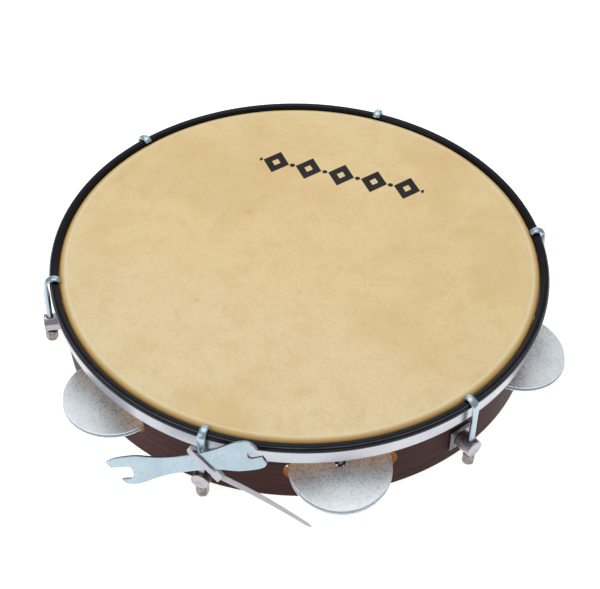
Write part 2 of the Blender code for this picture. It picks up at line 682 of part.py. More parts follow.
def belt(cloud):
    """The taut closed line round some points of a plane."""
    points = sorted({(round(x, 7), round(y, 7)) for x, y in cloud})

    def half(run):
        chain = []
        for p in run:
            while len(chain) > 1:
                (ax, ay), (bx, by) = chain[-2], chain[-1]
                if (bx - ax) * (p[1] - ay) - (by - ay) * (p[0] - ax) > 0:
                    break
                chain.pop()
            chain.append(p)
        return chain[:-1]

    return half(points) + half(reversed(points))


def shank_in_loop(frame, middle, across, deep, room):
    """The oval that the hook's shank, and some room round it, takes up in the strap."""
    side = across.cross(deep)
    foot = frame.inverted() @ place(lug_angle(KEY_LUG), SHANK_AXIS).translation
    shank = frame.to_3x3().inverted() @ Vector((0, 0, 1))
    lean = shank.dot(side)
    crossing = foot + shank * ((middle - foot).dot(side) / lean) - middle
    along = (shank - side * lean).normalized()
    drift = TIE_HALF_WIDTH * math.sqrt(1 - lean ** 2) / abs(lean)
    return oval((crossing.dot(across), crossing.dot(deep)),
                (along.dot(across), along.dot(deep)),
                SHANK_RADIUS / abs(lean) + drift + room, SHANK_RADIUS + room)


def tie_loop_stations(frame, across, deep, middle):
    """Rings of the strap round the key's waist and the hook's shank."""
    centre_gap = GAP + TIE_HALF_THICKNESS
    reach = 0.0
    for _ in range(4):                # settles where the strap passes the key's edge
        edge = key_half_width(middle.x + (reach + TIE_HALF_WIDTH) * math.sin(TIE_TURN))
        reach = (edge + TIE_HALF_WIDTH * math.sin(TIE_TURN)) / math.cos(TIE_TURN)
    corner = KEY_THICKNESS / 2 + centre_gap + TIE_CORNER_ROOM
    ring = belt(oval((-reach, 0), (1, 0), corner, corner)
                + oval((reach, 0), (1, 0), corner, corner)
                + shank_in_loop(frame, middle, across, deep, centre_gap + TIE_SHANK_ROOM))
    side = across.cross(deep)
    rings = []
    count = len(ring)
    for i, (x, y) in enumerate(ring):
        before, after = ring[i - 1], ring[(i + 1) % count]
        tangent = Vector((after[0] - before[0], after[1] - before[1])).normalized()
        out = across * tangent.y - deep * tangent.x
        centre = middle + across * x + deep * y
        rings.append([centre + out * (a * TIE_HALF_THICKNESS) + side * (b * TIE_HALF_WIDTH)
                      for a, b in ((1, 1), (-1, 1), (-1, -1), (1, -1))])
    return rings, reach + corner


def make_tie(group, cutters, nylon):
    frame = key_frame()
    across = Vector((math.sin(TIE_TURN), -math.cos(TIE_TURN), 0))
    deep = Vector((0, 0, 1))
    middle = Vector((KEY_CROSSING + TIE_OFFSET, 0, 0))
    rings, reach = tie_loop_stations(frame, across, deep, middle)
    tie = loft('cable_tie', rings, group, frame, closed=True)

    head_centre = middle + across * (reach + TIE_HEAD_PAST_LOOP)
    slant = Matrix((across, across.cross(deep) * -1, deep)).transposed().to_4x4()
    head_frame = frame @ Matrix.Translation(head_centre) @ slant
    shape = bmesh.new()
    bmesh.ops.create_cube(shape, size=1.0)
    bmesh.ops.scale(shape, vec=TIE_HEAD, verts=shape.verts)
    mesh = bpy.data.meshes.new('tie_head')
    shape.to_mesh(mesh)
    shape.free()
    head = add_object('tie_head', mesh, cutters, head_frame)

    start = head_frame.translation
    tip = place(lug_angle(KEY_LUG), SHANK_AXIS) @ Vector(TIE_TIP)
    run = tip - start
    flat = run.cross(Vector((0, 0, 1))).normalized()
    rise = flat.cross(run).normalized()
    tail_rings = []
    for share, half_width in TIE_TAIL_TAPER:
        sag = TIE_TAIL_SAG * math.sin(math.pi * share)
        centre = start + run * share + rise * sag
        tail_rings.append([centre + flat * (a * TIE_HALF_THICKNESS) + rise * (b * half_width)
                           for a, b in ((1, 1), (-1, 1), (-1, -1), (1, -1))])
    tail = loft('tie_tail', tail_rings, cutters)
    combine(tie, head, 'UNION')
    combine(tie, tail, 'UNION')
    return finish(tie, nylon)


# --- the whole drum -----------------------------------------------------------
def build():
    clear_scene()
    drum = collection('pandeiro')
    cutters = collection('cutters')

    wood = material('rosewood_veneer', (0.075, 0.030, 0.026), 0.42)
    skin = material('goat_skin', (0.73, 0.57, 0.33), 0.55)
    black = material('black_edging', (0.020, 0.020, 0.024), 0.32)
    bright_steel = material('bright_steel', (0.62, 0.62, 0.64), 0.28, 1.0)
    zinc = material('bright_zinc', (0.60, 0.68, 0.72), 0.25, 1.0)
    nickel = material('satin_nickel', (0.52, 0.50, 0.48), 0.33, 1.0)
    tin = material('tinned_sheet', (0.66, 0.68, 0.70), 0.38, 1.0)
    dull = material('dull_sheet', (0.34, 0.35, 0.37), 0.45, 1.0)
    nylon = material('natural_nylon', (0.60, 0.60, 0.63), 0.35)

    make_shell(drum, cutters, wood)
    make_head(drum, skin)
    make_flesh_hoop(drum, bright_steel)
    make_counter_hoop(drum, bright_steel)
    make_trim(drum, black)
    for index in range(LUG_COUNT):
        make_hook(index, drum, zinc)
        make_plate(index, drum, cutters, nickel)
        make_post(index, drum, cutters, nickel)
        make_screw(index, drum, bright_steel)
        make_nut(index, drum, cutters, nickel)
    steels = {'lower': tin, 'damper': dull, 'upper': tin}
    for number, index in enumerate(JINGLE_DROOP, start=1):
        make_jingle_set(index, number, drum, steels)
        make_pin(index, number, drum, bright_steel)
    make_key(drum, cutters, zinc)
    make_tie(drum, cutters, nylon)


build()
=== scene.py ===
"""Looks of a ten-inch pandeiro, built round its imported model.

Every piece is modelled with Blender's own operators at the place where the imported
model has it, dressed in procedural finishes, and tied to the body it moves with.
Lengths are in metres, +Z is up through the skin, and the drum's axis is the Z axis.
"""

import logging
import math
from collections.abc import Callable, Iterator, Sequence
from contextlib import contextmanager
from dataclasses import dataclass, field
from enum import Enum

import bmesh
import bpy
import numpy as np
from mathutils import Matrix, Vector


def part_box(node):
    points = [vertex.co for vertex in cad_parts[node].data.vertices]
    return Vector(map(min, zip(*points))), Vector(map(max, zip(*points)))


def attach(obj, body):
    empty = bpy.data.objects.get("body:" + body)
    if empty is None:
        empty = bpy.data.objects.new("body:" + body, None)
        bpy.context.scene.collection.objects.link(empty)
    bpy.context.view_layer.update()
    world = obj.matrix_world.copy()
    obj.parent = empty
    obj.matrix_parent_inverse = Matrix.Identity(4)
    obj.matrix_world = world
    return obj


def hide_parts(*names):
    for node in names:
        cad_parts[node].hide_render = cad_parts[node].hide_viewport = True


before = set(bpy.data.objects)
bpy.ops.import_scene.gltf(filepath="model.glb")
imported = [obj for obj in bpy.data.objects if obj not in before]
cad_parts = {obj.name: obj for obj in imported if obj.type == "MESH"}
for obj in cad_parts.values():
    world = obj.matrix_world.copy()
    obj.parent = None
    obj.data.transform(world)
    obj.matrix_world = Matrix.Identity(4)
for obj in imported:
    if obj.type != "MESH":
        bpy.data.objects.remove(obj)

LOG = logging.getLogger("pandeiro")
MM = 0.001
GAP = 0.3 * MM
HAIR = 1e-6
TOUCH = 1e-5
TURN_STEPS = 240
EVEN_WEIGHT = 80
LUGS = 6
JINGLE_SETS = 5
KEY_NUT = "tension_nut_6"

Colour = tuple[float, float, float]


def srgb(red: int, green: int, blue: int) -> Colour:
    """Turn a colour on a screen's scale of 0 to 255 into scene-linear values.

    Args:
        red: Red share.
        green: Green share.
        blue: Blue share.

    Returns:
        The linear colour.
    """
    def linear(share: int) -> float:
        """One channel, through the standard curve."""
        value = share / 255
        return value / 12.92 if value <= 0.04045 else ((value + 0.055) / 1.055) ** 2.4

    return linear(red), linear(green), linear(blue)


# --- shader maths ---------------------------------------------------------------
class Socket:
    """A value that flows through a finish, so that its maths reads as maths."""

    def __init__(self, recipe: "Recipe", link: bpy.types.NodeSocket) -> None:
        """Wrap one output of a node."""
        self.recipe = recipe
        self.link = link

    def _maths(self, operation: str, *values: "Socket | float") -> "Socket":
        """Add one Math node over some values."""
        return self.recipe.node("ShaderNodeMath", {"operation": operation},
                                dict(enumerate(values)))

    def __add__(self, other: "Socket | float") -> "Socket":
        """Sum."""
        return self._maths("ADD", self, other)

    def __radd__(self, other: float) -> "Socket":
        """Sum, with the number first."""
        return self._maths("ADD", other, self)

    def __sub__(self, other: "Socket | float") -> "Socket":
        """Difference."""
        return self._maths("SUBTRACT", self, other)

    def __rsub__(self, other: float) -> "Socket":
        """Difference, with the number first."""
        return self._maths("SUBTRACT", other, self)

    def __mul__(self, other: "Socket | float") -> "Socket":
        """Product."""
        return self._maths("MULTIPLY", self, other)

    def __rmul__(self, other: float) -> "Socket":
        """Product, with the number first."""
        return self._maths("MULTIPLY", other, self)

    def __truediv__(self, other: "Socket | float") -> "Socket":
        """Quotient."""
        return self._maths("DIVIDE", self, other)

    def __pow__(self, other: float) -> "Socket":
        """Power."""
        return self._maths("POWER", self, other)

    def __abs__(self) -> "Socket":
        """Distance from zero."""
        return self._maths("ABSOLUTE", self)

    def wrapped(self, low: float, high: float) -> "Socket":
        """The value brought into a range by whole turns of that range."""
        return self._maths("WRAP", self, high, low)

    def at_least(self, other: "Socket | float") -> "Socket":
        """The larger of two values."""
        return self._maths("MAXIMUM", self, other)

    def ramp(self, start: float, end: float, low: float = 0.0, high: float = 1.0) -> "Socket":
        """A smooth step between two levels.

        Args:
            start: Where the step begins.
            end: Where it ends, which may lie below the start.
            low: Result before the start.
            high: Result past the end.

        Returns:
            The stepped value.
        """
        if start > end:
            start, end, low, high = end, start, high, low
        return self.recipe.node("ShaderNodeMapRange", {"interpolation_type": "SMOOTHSTEP"},
                                {0: self, 1: start, 2: end, 3: low, 4: high})


class Recipe:
    """The node tree of a material or a world, built a node at a time."""

    def __init__(self, owner: bpy.types.Material | bpy.types.World) -> None:
        """Switch the owner's nodes on."""
        owner.use_nodes = True
        self.owner = owner
        self.tree = owner.node_tree

    def fill(self, socket: bpy.types.NodeSocket, value: object) -> None:
        """Link or set one input."""
        if isinstance(value, Socket):
            self.tree.links.new(value.link, socket)
        elif socket.type == "RGBA" and len(value) == 3:
            socket.default_value = (*value, 1.0)
        else:
            socket.default_value = value

    def node(self, kind: str, settings: dict | None = None, inputs: dict | None = None,
             output: int | str = 0) -> Socket:
        """Add a node.

        Args:
            kind: Its Blender type.
            settings: Its own options, set before its sockets.
            inputs: Values or links, by socket name or number.
            output: The output that is handed on.

        Returns:
            The chosen output.
        """
        made = self.tree.nodes.new(kind)
        for option, value in (settings or {}).items():
            setattr(made, option, value)
        for socket, value in (inputs or {}).items():
            self.fill(made.inputs[socket], value)
        return Socket(self, made.outputs[output])

    def place(self, stretch: Sequence[float] = (1.0, 1.0, 1.0)) -> Socket:
        """The point on the object in metres, stretched along each axis."""
        here = self.node("ShaderNodeTexCoord", output="Object")
        return self.node("ShaderNodeMapping", {}, {"Vector": here, "Scale": stretch})

    def parts(self, vector: Socket) -> tuple[Socket, Socket, Socket]:
        """The X, Y and Z of a vector."""
        x = self.node("ShaderNodeSeparateXYZ", {}, {0: vector})
        outputs = x.link.node.outputs
        return x, Socket(self, outputs[1]), Socket(self, outputs[2])

    def noise(self, size: float, detail: float = 2.0, rough: float = 0.5,
              stretch: Sequence[float] = (1.0, 1.0, 1.0), twist: float = 0.0) -> Socket:
        """Cloudy noise.

        Args:
            size: Size of a cloud in metres before it is stretched.
            detail: Layers of finer noise.
            rough: Weight of the finer layers.
            stretch: Frequency along each axis, relative to the size.
            twist: How far the noise is warped by itself.

        Returns:
            Values about 0.5.
        """
        return self.node("ShaderNodeTexNoise", {},
                         {"Vector": self.place(stretch), "Scale": 1 / size,
                          "Detail": detail, "Roughness": rough, "Distortion": twist})

    def crystals(self, size: float) -> Socket:
        """A random colour for each small cell, as on spangled plate."""
        return self.node("ShaderNodeTexVoronoi", {},
                         {"Vector": self.place(), "Scale": 1 / size}, "Color")

    def radius(self) -> Socket:
        """Distance from the drum's axis in metres."""
        x, y, _ = self.parts(self.place())
        return (x * x + y * y) ** 0.5

    def blend(self, share: "Socket | float", first: "Socket | Colour",
              second: "Socket | Colour") -> Socket:
        """Mix two colours.

        Args:
            share: How much of the second.
            first: The colour at share 0.
            second: The colour at share 1.

        Returns:
            The mixed colour.
        """
        return self.node("ShaderNodeMix", {"data_type": "RGBA"},
                         {0: share, 6: first, 7: second}, 2)

    def bump(self, height: Socket, depth: float, strength: float = 1.0) -> Socket:
        """A normal from a height of 0 to 1 that stands for a depth in metres."""
        return self.node("ShaderNodeBump", {}, {"Strength": strength, "Distance": depth,
                                                "Height": height}, "Normal")

    def surface(self, **inputs: object) -> bpy.types.Material:
        """Set the shader's inputs, with words joined by underscores, and hand over."""
        shader = self.tree.nodes["Principled BSDF"]
        for name, value in inputs.items():
            self.fill(shader.inputs[name.replace("_", " ")], value)
        return self.owner


# --- finishes -------------------------------------------------------------------
@dataclass(frozen=True)
class Veneer:
    """Lacquered rosewood veneer whose figure runs round the rim."""

    name: str = "lacquered_rosewood"
    dark: Colour = srgb(32, 13, 12)
    middle: Colour = srgb(56, 27, 23)
    light: Colour = srgb(86, 43, 34)

    def paint(self, recipe: Recipe) -> bpy.types.Material:
        """Lay the finish out as nodes."""
        figure = recipe.noise(size=0.024, detail=5, rough=0.6, stretch=(0.3, 0.3, 12.0), twist=0.5)
        pores = recipe.noise(size=0.0032, detail=3, rough=0.7, stretch=(0.22, 0.22, 9.0), twist=0.2)
        broad = recipe.noise(size=0.05, detail=2, rough=0.5, stretch=(1.0, 1.0, 2.5), twist=0.5)
        colour = recipe.blend(figure.ramp(0.32, 0.66), self.dark, self.light)
        colour = recipe.blend(broad.ramp(0.3, 0.7, 0.1, 0.7), colour, self.middle)
        streak = pores.ramp(0.54, 0.40)
        colour = recipe.blend(streak * 0.4, colour, self.dark)
        return recipe.surface(
            Base_Color=colour,
            Roughness=figure.ramp(0.3, 0.7, 0.40, 0.52) + streak * 0.1,
            Normal=recipe.bump(pores, depth=0.00012, strength=0.35),
            Specular_IOR_Level=0.10, Coat_Weight=0.02, Coat_Roughness=0.25)


@dataclass(frozen=True)
class PlyWood:
    """The honey-coloured plies that show inside the rim and at the slots' ends."""

    name: str = "honey_ply"
    light: Colour = srgb(214, 148, 62)
    fibre: Colour = srgb(176, 110, 40)
    dark: Colour = srgb(128, 72, 22)
    ply: float = 1.15 * MM

    def paint(self, recipe: Recipe) -> bpy.types.Material:
        """Lay the finish out as nodes."""
        layer = abs((recipe.radius() / self.ply).wrapped(-0.5, 0.5))
        fibre = recipe.noise(size=0.006, detail=3, rough=0.6, stretch=(0.6, 0.6, 6.0), twist=0.4)
        colour = recipe.blend(fibre.ramp(0.3, 0.7), self.light, self.fibre)
        colour = recipe.blend(layer.ramp(0.34, 0.5) * 0.75, colour, self.dark)
        return recipe.surface(Base_Color=colour, Roughness=0.62,
                              Normal=recipe.bump(fibre, depth=0.0002, strength=0.4))


@dataclass(frozen=True)
class GoatSkin:
    """Cream skin, mottled and flecked, browner where it was soaked and pulled down and darkened
    there by painted shade, paler to one side by painted light, with a painted highlight along the
    crest.
    """

    name: str = "mottled_skin"
    pale: Colour = srgb(245, 226, 182)
    cream: Colour = srgb(242, 219, 166)
    tan: Colour = srgb(230, 198, 138)
    amber: Colour = srgb(212, 172, 106)
    collar: Colour = srgb(216, 180, 112)
    shaded: Colour = srgb(210, 164, 90)
    crest: float = 0.1249
    crest_half: float = 0.0007
    crest_light: Colour = srgb(246, 232, 206)
    soaked_width: float = 0.0026
    shadow_radii: tuple[float, float] = (0.1266, 0.1284)
    shadow_heights: tuple[float, float] = (0.0425, 0.0405)
    ink: Colour = srgb(8, 7, 8)
    print_middle: tuple[float, float] = (0.0554, 0.0458)
    print_turn: float = math.radians(-47.5)
    print_length: float = 0.096
    print_height: float = 0.019
    lozenges: int = 5
    dot_radius: float = 0.0016

    def paint(self, recipe: Recipe) -> bpy.types.Material:
        """Lay the finish out as nodes."""
        x, y, z = recipe.parts(recipe.place())
        radius = recipe.radius()
        clouds = recipe.noise(size=0.060, detail=4, rough=0.55, twist=0.6)
        mottle = recipe.noise(size=0.010, detail=5, rough=0.62, twist=0.35)
        fine = recipe.noise(size=0.0016, detail=3, rough=0.6)
        # Painted light: the skin is made paler towards -X and -Y, the side the light falls on.
        painted_lit_side = (y * -0.6 - x * 0.8 + clouds * 0.16).ramp(0.03, 0.20)
        colour = recipe.blend(painted_lit_side, self.cream, self.pale)
        colour = recipe.blend(clouds.ramp(0.44, 0.74) * 0.65, colour, self.tan)
        colour = recipe.blend(mottle.ramp(0.42, 0.72) * 0.40, colour, self.tan)
        flecks = recipe.noise(size=0.006, detail=2, rough=0.4).ramp(0.68, 0.80) * 0.3
        colour = recipe.blend(flecks, colour, self.amber)
        colour = recipe.blend(fine.ramp(0.40, 0.66) * 0.30, colour, self.tan)
        # Painted highlight: a pale line along the rounded crest of the bearing edge.
        painted_crest_highlight = abs(radius - self.crest).ramp(self.crest_half * 1.6, self.crest_half * 0.4)
        colour = recipe.blend(painted_crest_highlight * 0.45, colour, self.crest_light)
        # Past the crest the skin turns browner: partly the soaked skin's own colour, partly painted
        # shade under the edging. The next two lines add deeper painted shade near the edging and
        # low on the collar.
        beyond = radius.ramp(self.crest, self.crest + self.soaked_width)
        colour = recipe.blend(beyond, colour, self.collar)
        colour = recipe.blend(radius.ramp(*self.shadow_radii), colour, self.shaded)
        colour = recipe.blend(z.ramp(*self.shadow_heights), colour, self.shaded)
        printed = self._print(recipe, x, y) * fine.ramp(0.20, 0.30, 0.9, 1.0)
        colour = recipe.blend(printed, colour, self.ink)
        height = mottle * 0.6 + fine * 0.4
        return recipe.surface(
            Base_Color=colour, Roughness=mottle.ramp(0.35, 0.7, 0.50, 0.62),
            Normal=recipe.bump(height, depth=0.0002, strength=0.3),
            Subsurface_Weight=0.10, Subsurface_Scale=0.0015, Specular_IOR_Level=0.3)

    def _print(self, recipe: Recipe, x: Socket, y: Socket) -> Socket:
        """A plain printed band of lozenges and dots, 1 where there is ink.

        Args:
            recipe: The finish being built.
            x: Place along X.
            y: Place along Y.

        Returns:
            The mask.
        """
        cos, sin = math.cos(self.print_turn), math.sin(self.print_turn)
        mid_x, mid_y = self.print_middle
        along = (x - mid_x) * cos + (y - mid_y) * sin
        across = (y - mid_y) * cos - (x - mid_x) * sin
        pitch = self.print_length / self.lozenges
        cell = abs(along.wrapped(-pitch / 2, pitch / 2))
        tall = abs(across) / (self.print_height / 2)
        lozenge = (cell / (pitch * 0.40) + tall).ramp(1.02, 0.98)
        inner = (cell / (pitch * 0.13) + abs(across) / (self.print_height * 0.16)
                 ).ramp(0.97, 1.03)
        dot_x = pitch / 2 - cell
        dot = ((dot_x * dot_x + across * across) ** 0.5).ramp(
            self.dot_radius, self.dot_radius - 0.0002)
        mark = (lozenge * inner).at_least(dot)
        return mark * abs(along).ramp(self.print_length / 2 + 0.0002, self.print_length / 2)


@dataclass(frozen=True)
class BlackEdging:
    """Moulded black plastic with a soft gloss, scuffed a little by the hooks, with a painted
    highlight line along its top.
    """

    name: str = "glossy_edging"
    colour: Colour = srgb(17, 19, 26)
    scuff: Colour = srgb(84, 87, 94)
    seam_radius: float = 0.1327
    seam_half: float = 0.00028

    def paint(self, recipe: Recipe) -> bpy.types.Material:
        """Lay the finish out as nodes."""
        wave = recipe.noise(size=0.012, detail=3, rough=0.5)
        grain = recipe.noise(size=0.0009, detail=2, rough=0.6)
        dust = recipe.noise(size=0.0022, detail=3, rough=0.65).ramp(0.66, 0.76) * 0.35
        # Painted highlight: a thin light line at one radius along the edging's top, sharing its
        # colour with the dust and scuffs.
        off_highlight_line = abs(recipe.radius() - self.seam_radius)
        painted_highlight_line = off_highlight_line.ramp(self.seam_half, self.seam_half * 0.4) * wave.ramp(0.3, 0.6, 0.5)
        return recipe.surface(
            Base_Color=recipe.blend(painted_highlight_line.at_least(dust), self.colour, self.scuff),
            Roughness=wave.ramp(0.3, 0.7, 0.20, 0.28) + dust * 0.3,
            Normal=recipe.bump(grain * 0.4 + wave, depth=0.00006, strength=0.25),
            Specular_IOR_Level=0.16)


@dataclass(frozen=True)
class Metal:
    """A plated or bare metal with clouds, fine scratches and a soft sheen."""

    name: str
    light: Colour
    dark: Colour
    cloud: float = 0.004
    roughness: tuple[float, float] = (0.22, 0.36)
    brushed: tuple[float, float, float] = (1.0, 1.0, 1.0)
    grain: float = 0.0012
    relief: float = 0.00002
    contrast: tuple[float, float] = (0.30, 0.75)
    streak: float = 0.15

    def paint(self, recipe: Recipe) -> bpy.types.Material:
        """Lay the finish out as nodes."""
        clouds = recipe.noise(size=self.cloud, detail=4, rough=0.6, twist=0.4)
        streaks = recipe.noise(size=self.grain, detail=3, rough=0.65, stretch=self.brushed)
        low, high = self.contrast
        colour = recipe.blend(clouds.ramp(low, high), self.light, self.dark)
        colour = recipe.blend(streaks.ramp(0.55, 0.75) * self.streak, colour, self.dark)
        smooth, dull = self.roughness
        rough = clouds.ramp(0.3, 0.7, smooth, dull) + streaks.ramp(0.4, 0.7, -0.02, 0.04)
        return recipe.surface(Base_Color=colour, Metallic=1.0, Roughness=rough,
                              Normal=recipe.bump(streaks, depth=self.relief, strength=0.4))


@dataclass(frozen=True)
class SpangledSheet:
    """Tinned sheet: crystals of plate, dull smudges and bright rubbed spots, brightened outside the
    rim by painted light.
    """

    name: str = "spangled_sheet"
    bright: Colour = srgb(243, 250, 255)
    grey: Colour = srgb(214, 223, 232)
    smudge: Colour = srgb(168, 178, 190)
    turn_radius: float = 0.128
    brightening: float = 0.014

    def paint(self, recipe: Recipe) -> bpy.types.Material:
        """Lay the finish out as nodes."""
        tone, second, _ = recipe.parts(recipe.crystals(0.0010))
        speckle = recipe.noise(size=0.0007, detail=3, rough=0.65)
        clouds = recipe.noise(size=0.010, detail=4, rough=0.6, twist=0.6)
        # Painted light: the sheet is made brighter beyond the rim's outer face and darker where it
        # sits inside the slot.
        painted_light_outward = recipe.radius().ramp(self.turn_radius, self.turn_radius + self.brightening)
        shade = tone * 0.3 + speckle * 0.6 + clouds * 0.4 - painted_light_outward * 0.16
        colour = recipe.blend(shade.ramp(0.42, 0.85), self.bright, self.grey)
        colour = recipe.blend(shade.ramp(0.66, 0.95) * 0.8, colour, self.smudge)
        rough = 0.33 + second * 0.08 + speckle.ramp(0.35, 0.7, 0.0, 0.10)
        return recipe.surface(
            Base_Color=colour, Metallic=0.45, Roughness=rough,
            Normal=recipe.bump(speckle * 0.6 + tone * 0.4, depth=0.00005, strength=0.5))


@dataclass(frozen=True)
class Nylon:
    """Natural nylon: milky, a little see-through, faintly ribbed."""

    name: str = "milky_nylon"
    milky: Colour = srgb(216, 216, 224)
    shaded: Colour = srgb(198, 198, 208)

    def paint(self, recipe: Recipe) -> bpy.types.Material:
        """Lay the finish out as nodes."""
        clouds = recipe.noise(size=0.005, detail=3, rough=0.5)
        grain = recipe.noise(size=0.0006, detail=2, rough=0.5)
        return recipe.surface(
            Base_Color=recipe.blend(clouds, self.milky, self.shaded),
            Roughness=clouds.ramp(0.3, 0.7, 0.30, 0.44),
            Normal=recipe.bump(grain, depth=0.00005, strength=0.3),
            Subsurface_Weight=0.15, Subsurface_Scale=0.001,
            Subsurface_Radius=(1.0, 1.0, 1.0))


STEEL_BAND = Metal("satin_band_steel", light=srgb(188, 190, 197), dark=srgb(178, 179, 187),
                   cloud=0.020, roughness=(0.28, 0.32), brushed=(0.25, 0.25, 6.0),
                   grain=0.0030, relief=0.00001)
ZINC = Metal("bluish_zinc_plate", light=srgb(174, 192, 202), dark=srgb(164, 182, 194),
             cloud=0.012, roughness=(0.28, 0.31), grain=0.0020, relief=0.000006, streak=0.3)
NICKEL = Metal("satin_nickel_plate", light=srgb(182, 178, 183), dark=srgb(160, 156, 162),
               cloud=0.005, roughness=(0.27, 0.33), brushed=(3.0, 3.0, 0.6), grain=0.0009)
# A darker, browner nickel for the nuts.
NUT_NICKEL = Metal("darker_brownish_nickel_plate", light=srgb(152, 143, 138), dark=srgb(112, 101, 94),
                   cloud=0.0022, roughness=(0.16, 0.26), grain=0.0008)
# A darker, rougher copy of the nickel for the plates' slanting bevels; the darkness is a painted
# dark reflection.
DARKENED_BEVEL_NICKEL = Metal("rougher_nickel_painted_dark", light=srgb(124, 124, 132), dark=srgb(96, 96, 104),
                     cloud=0.003, roughness=(0.34, 0.44), grain=0.0009)
DULL_SHEET = Metal("dull_sheet_steel", light=srgb(120, 122, 126), dark=srgb(72, 74, 78),
                   cloud=0.006, roughness=(0.40, 0.56), grain=0.0012)


SHELF: dict[str, bpy.types.Material] = {}


class Finish(Enum):
    """The drum's finishes."""

    VENEER = Veneer()
    PLY = PlyWood()
    SKIN = GoatSkin()
    EDGING = BlackEdging()
    STEEL = STEEL_BAND
    ZINC = ZINC
    NICKEL = NICKEL
    NUT = NUT_NICKEL
    BEVEL = DARKENED_BEVEL_NICKEL
    SPANGLE = SpangledSheet()
    DULL = DULL_SHEET
    NYLON = Nylon()

    def material(self) -> bpy.types.Material:
        """The finish's material, made the first time it is asked for."""
        if self.name not in SHELF:
            look = self.value
            SHELF[self.name] = look.paint(Recipe(bpy.data.materials.new(look.name)))
        return SHELF[self.name]


# --- the workbench --------------------------------------------------------------
class Pick(Enum):
    """What a selection in edit mode is made of."""

    POINTS = "VERT"
    EDGES = "EDGE"


def deselect() -> None:
    """Leave nothing selected, in object mode."""
    if bpy.context.mode != "OBJECT":
        bpy.ops.object.mode_set(mode="OBJECT")
    bpy.ops.object.select_all(action="DESELECT")


def activate(*pieces: bpy.types.Object) -> None:
    """Select some pieces alone, the first of them active."""
    deselect()
    for piece in pieces:
        piece.select_set(True)
    bpy.context.view_layer.objects.active = pieces[0]


def settle(name: str) -> bpy.types.Object:
    """Name the active primitive and put its place into its mesh.

    Args:
        name: Its name.

    Returns:
        The piece, at the origin and unturned.
    """
    piece = bpy.context.active_object
    piece.name = name
    piece.data.name = name
    bpy.ops.object.transform_apply(location=True, rotation=True, scale=True)
    return piece


@contextmanager
def editing(piece: bpy.types.Object) -> Iterator[None]:
    """Keep a piece in edit mode for a while."""
    activate(piece)
    bpy.ops.object.mode_set(mode="EDIT")
    try:
        yield
    finally:
        bpy.ops.object.mode_set(mode="OBJECT")


@contextmanager
def shaping() -> Iterator[bmesh.types.BMesh]:
    """Hand over the active piece's mesh to be worked part by part, in edit mode."""
    mesh = bpy.context.active_object.data
    shape = bmesh.from_edit_mesh(mesh)
    yield shape
    bmesh.update_edit_mesh(mesh)


def pick_all() -> None:
    """Select everything, in edit mode."""
    bpy.ops.mesh.select_all(action="SELECT")


def pick(kind: Pick, test: Callable[[Vector], bool]) -> None:
    """Select what lies where a test says, in edit mode.

    Args:
        kind: Points or edges. An edge counts where both its ends pass.
        test: Takes a place.
    """
    bpy.ops.mesh.select_mode(type=kind.value)
    bpy.ops.mesh.select_all(action="DESELECT")
    with shaping() as shape:
        for part in shape.verts if kind is Pick.POINTS else shape.edges:
            ends = [part] if kind is Pick.POINTS else part.verts
            if all(test(point.co) for point in ends):
                part.select_set(True)
        shape.select_flush_mode()


def pick_faces_towards(direction: Vector, share: float = 0.99) -> None:
    """Select the faces that look along a direction, in edit mode."""
    bpy.ops.mesh.select_mode(type="FACE")
    bpy.ops.mesh.select_all(action="DESELECT")
    with shaping() as shape:
        for face in shape.faces:
            if face.normal.dot(direction) > share:
                face.select_set(True)


def keep_edges_along(axis: Vector, length: float) -> None:
    """Of the selected edges, keep those that run further than a length along an axis."""
    with shaping() as shape:
        for edge in shape.edges:
            run = edge.verts[0].co - edge.verts[1].co
            edge.select_set(edge.select and abs(run.dot(axis)) > length)
        shape.select_flush_mode()


def push(offset: Sequence[float]) -> None:
    """Extrude the selection by an offset, in edit mode."""
    bpy.ops.mesh.extrude_region_move(TRANSFORM_OT_translate={"value": tuple(offset)})


def round_over(offset: float, segments: int = 3, corners: bool = False) -> None:
    """Bevel the selected edges, or corners, in edit mode."""
    bpy.ops.mesh.bevel(offset=offset, segments=segments, profile=0.5,
                       affect="VERTICES" if corners else "EDGES", clamp_overlap=True)


def spin_all(steps: int = TURN_STEPS) -> None:
    """Spin everything all the way round the Z axis, in edit mode."""
    bpy.ops.mesh.select_mode(type="EDGE")
    pick_all()
    bpy.ops.mesh.spin(steps=steps, angle=math.tau, center=(0, 0, 0), axis=(0, 0, 1))
    heal()


def turn_outline(steps: int = TURN_STEPS) -> None:
    """Spin a flat face's outline all the way round the Z axis, in edit mode."""
    pick_all()
    bpy.ops.mesh.delete(type="ONLY_FACE")
    spin_all(steps)


def heal() -> None:
    """Merge doubled points and point every face outwards, in edit mode."""
    pick_all()
    bpy.ops.mesh.remove_doubles(threshold=2 * HAIR)
    bpy.ops.mesh.normals_make_consistent(inside=False)


def section_plate(name: str, low: tuple[float, float], high: tuple[float, float]
                  ) -> bpy.types.Object:
    """A flat rectangle standing in the XZ plane, from which a ring is turned.

    Args:
        name: The piece's name.
        low: Smallest radius and height.
        high: Largest radius and height.

    Returns:
        The piece.
    """
    deselect()
    middle = ((low[0] + high[0]) / 2, 0.0, (low[1] + high[1]) / 2)
    bpy.ops.mesh.primitive_plane_add(size=1.0, location=middle,
                                     rotation=(math.pi / 2, 0.0, 0.0))
    bpy.context.active_object.scale = (high[0] - low[0], high[1] - low[1], 1.0)
    return settle(name)


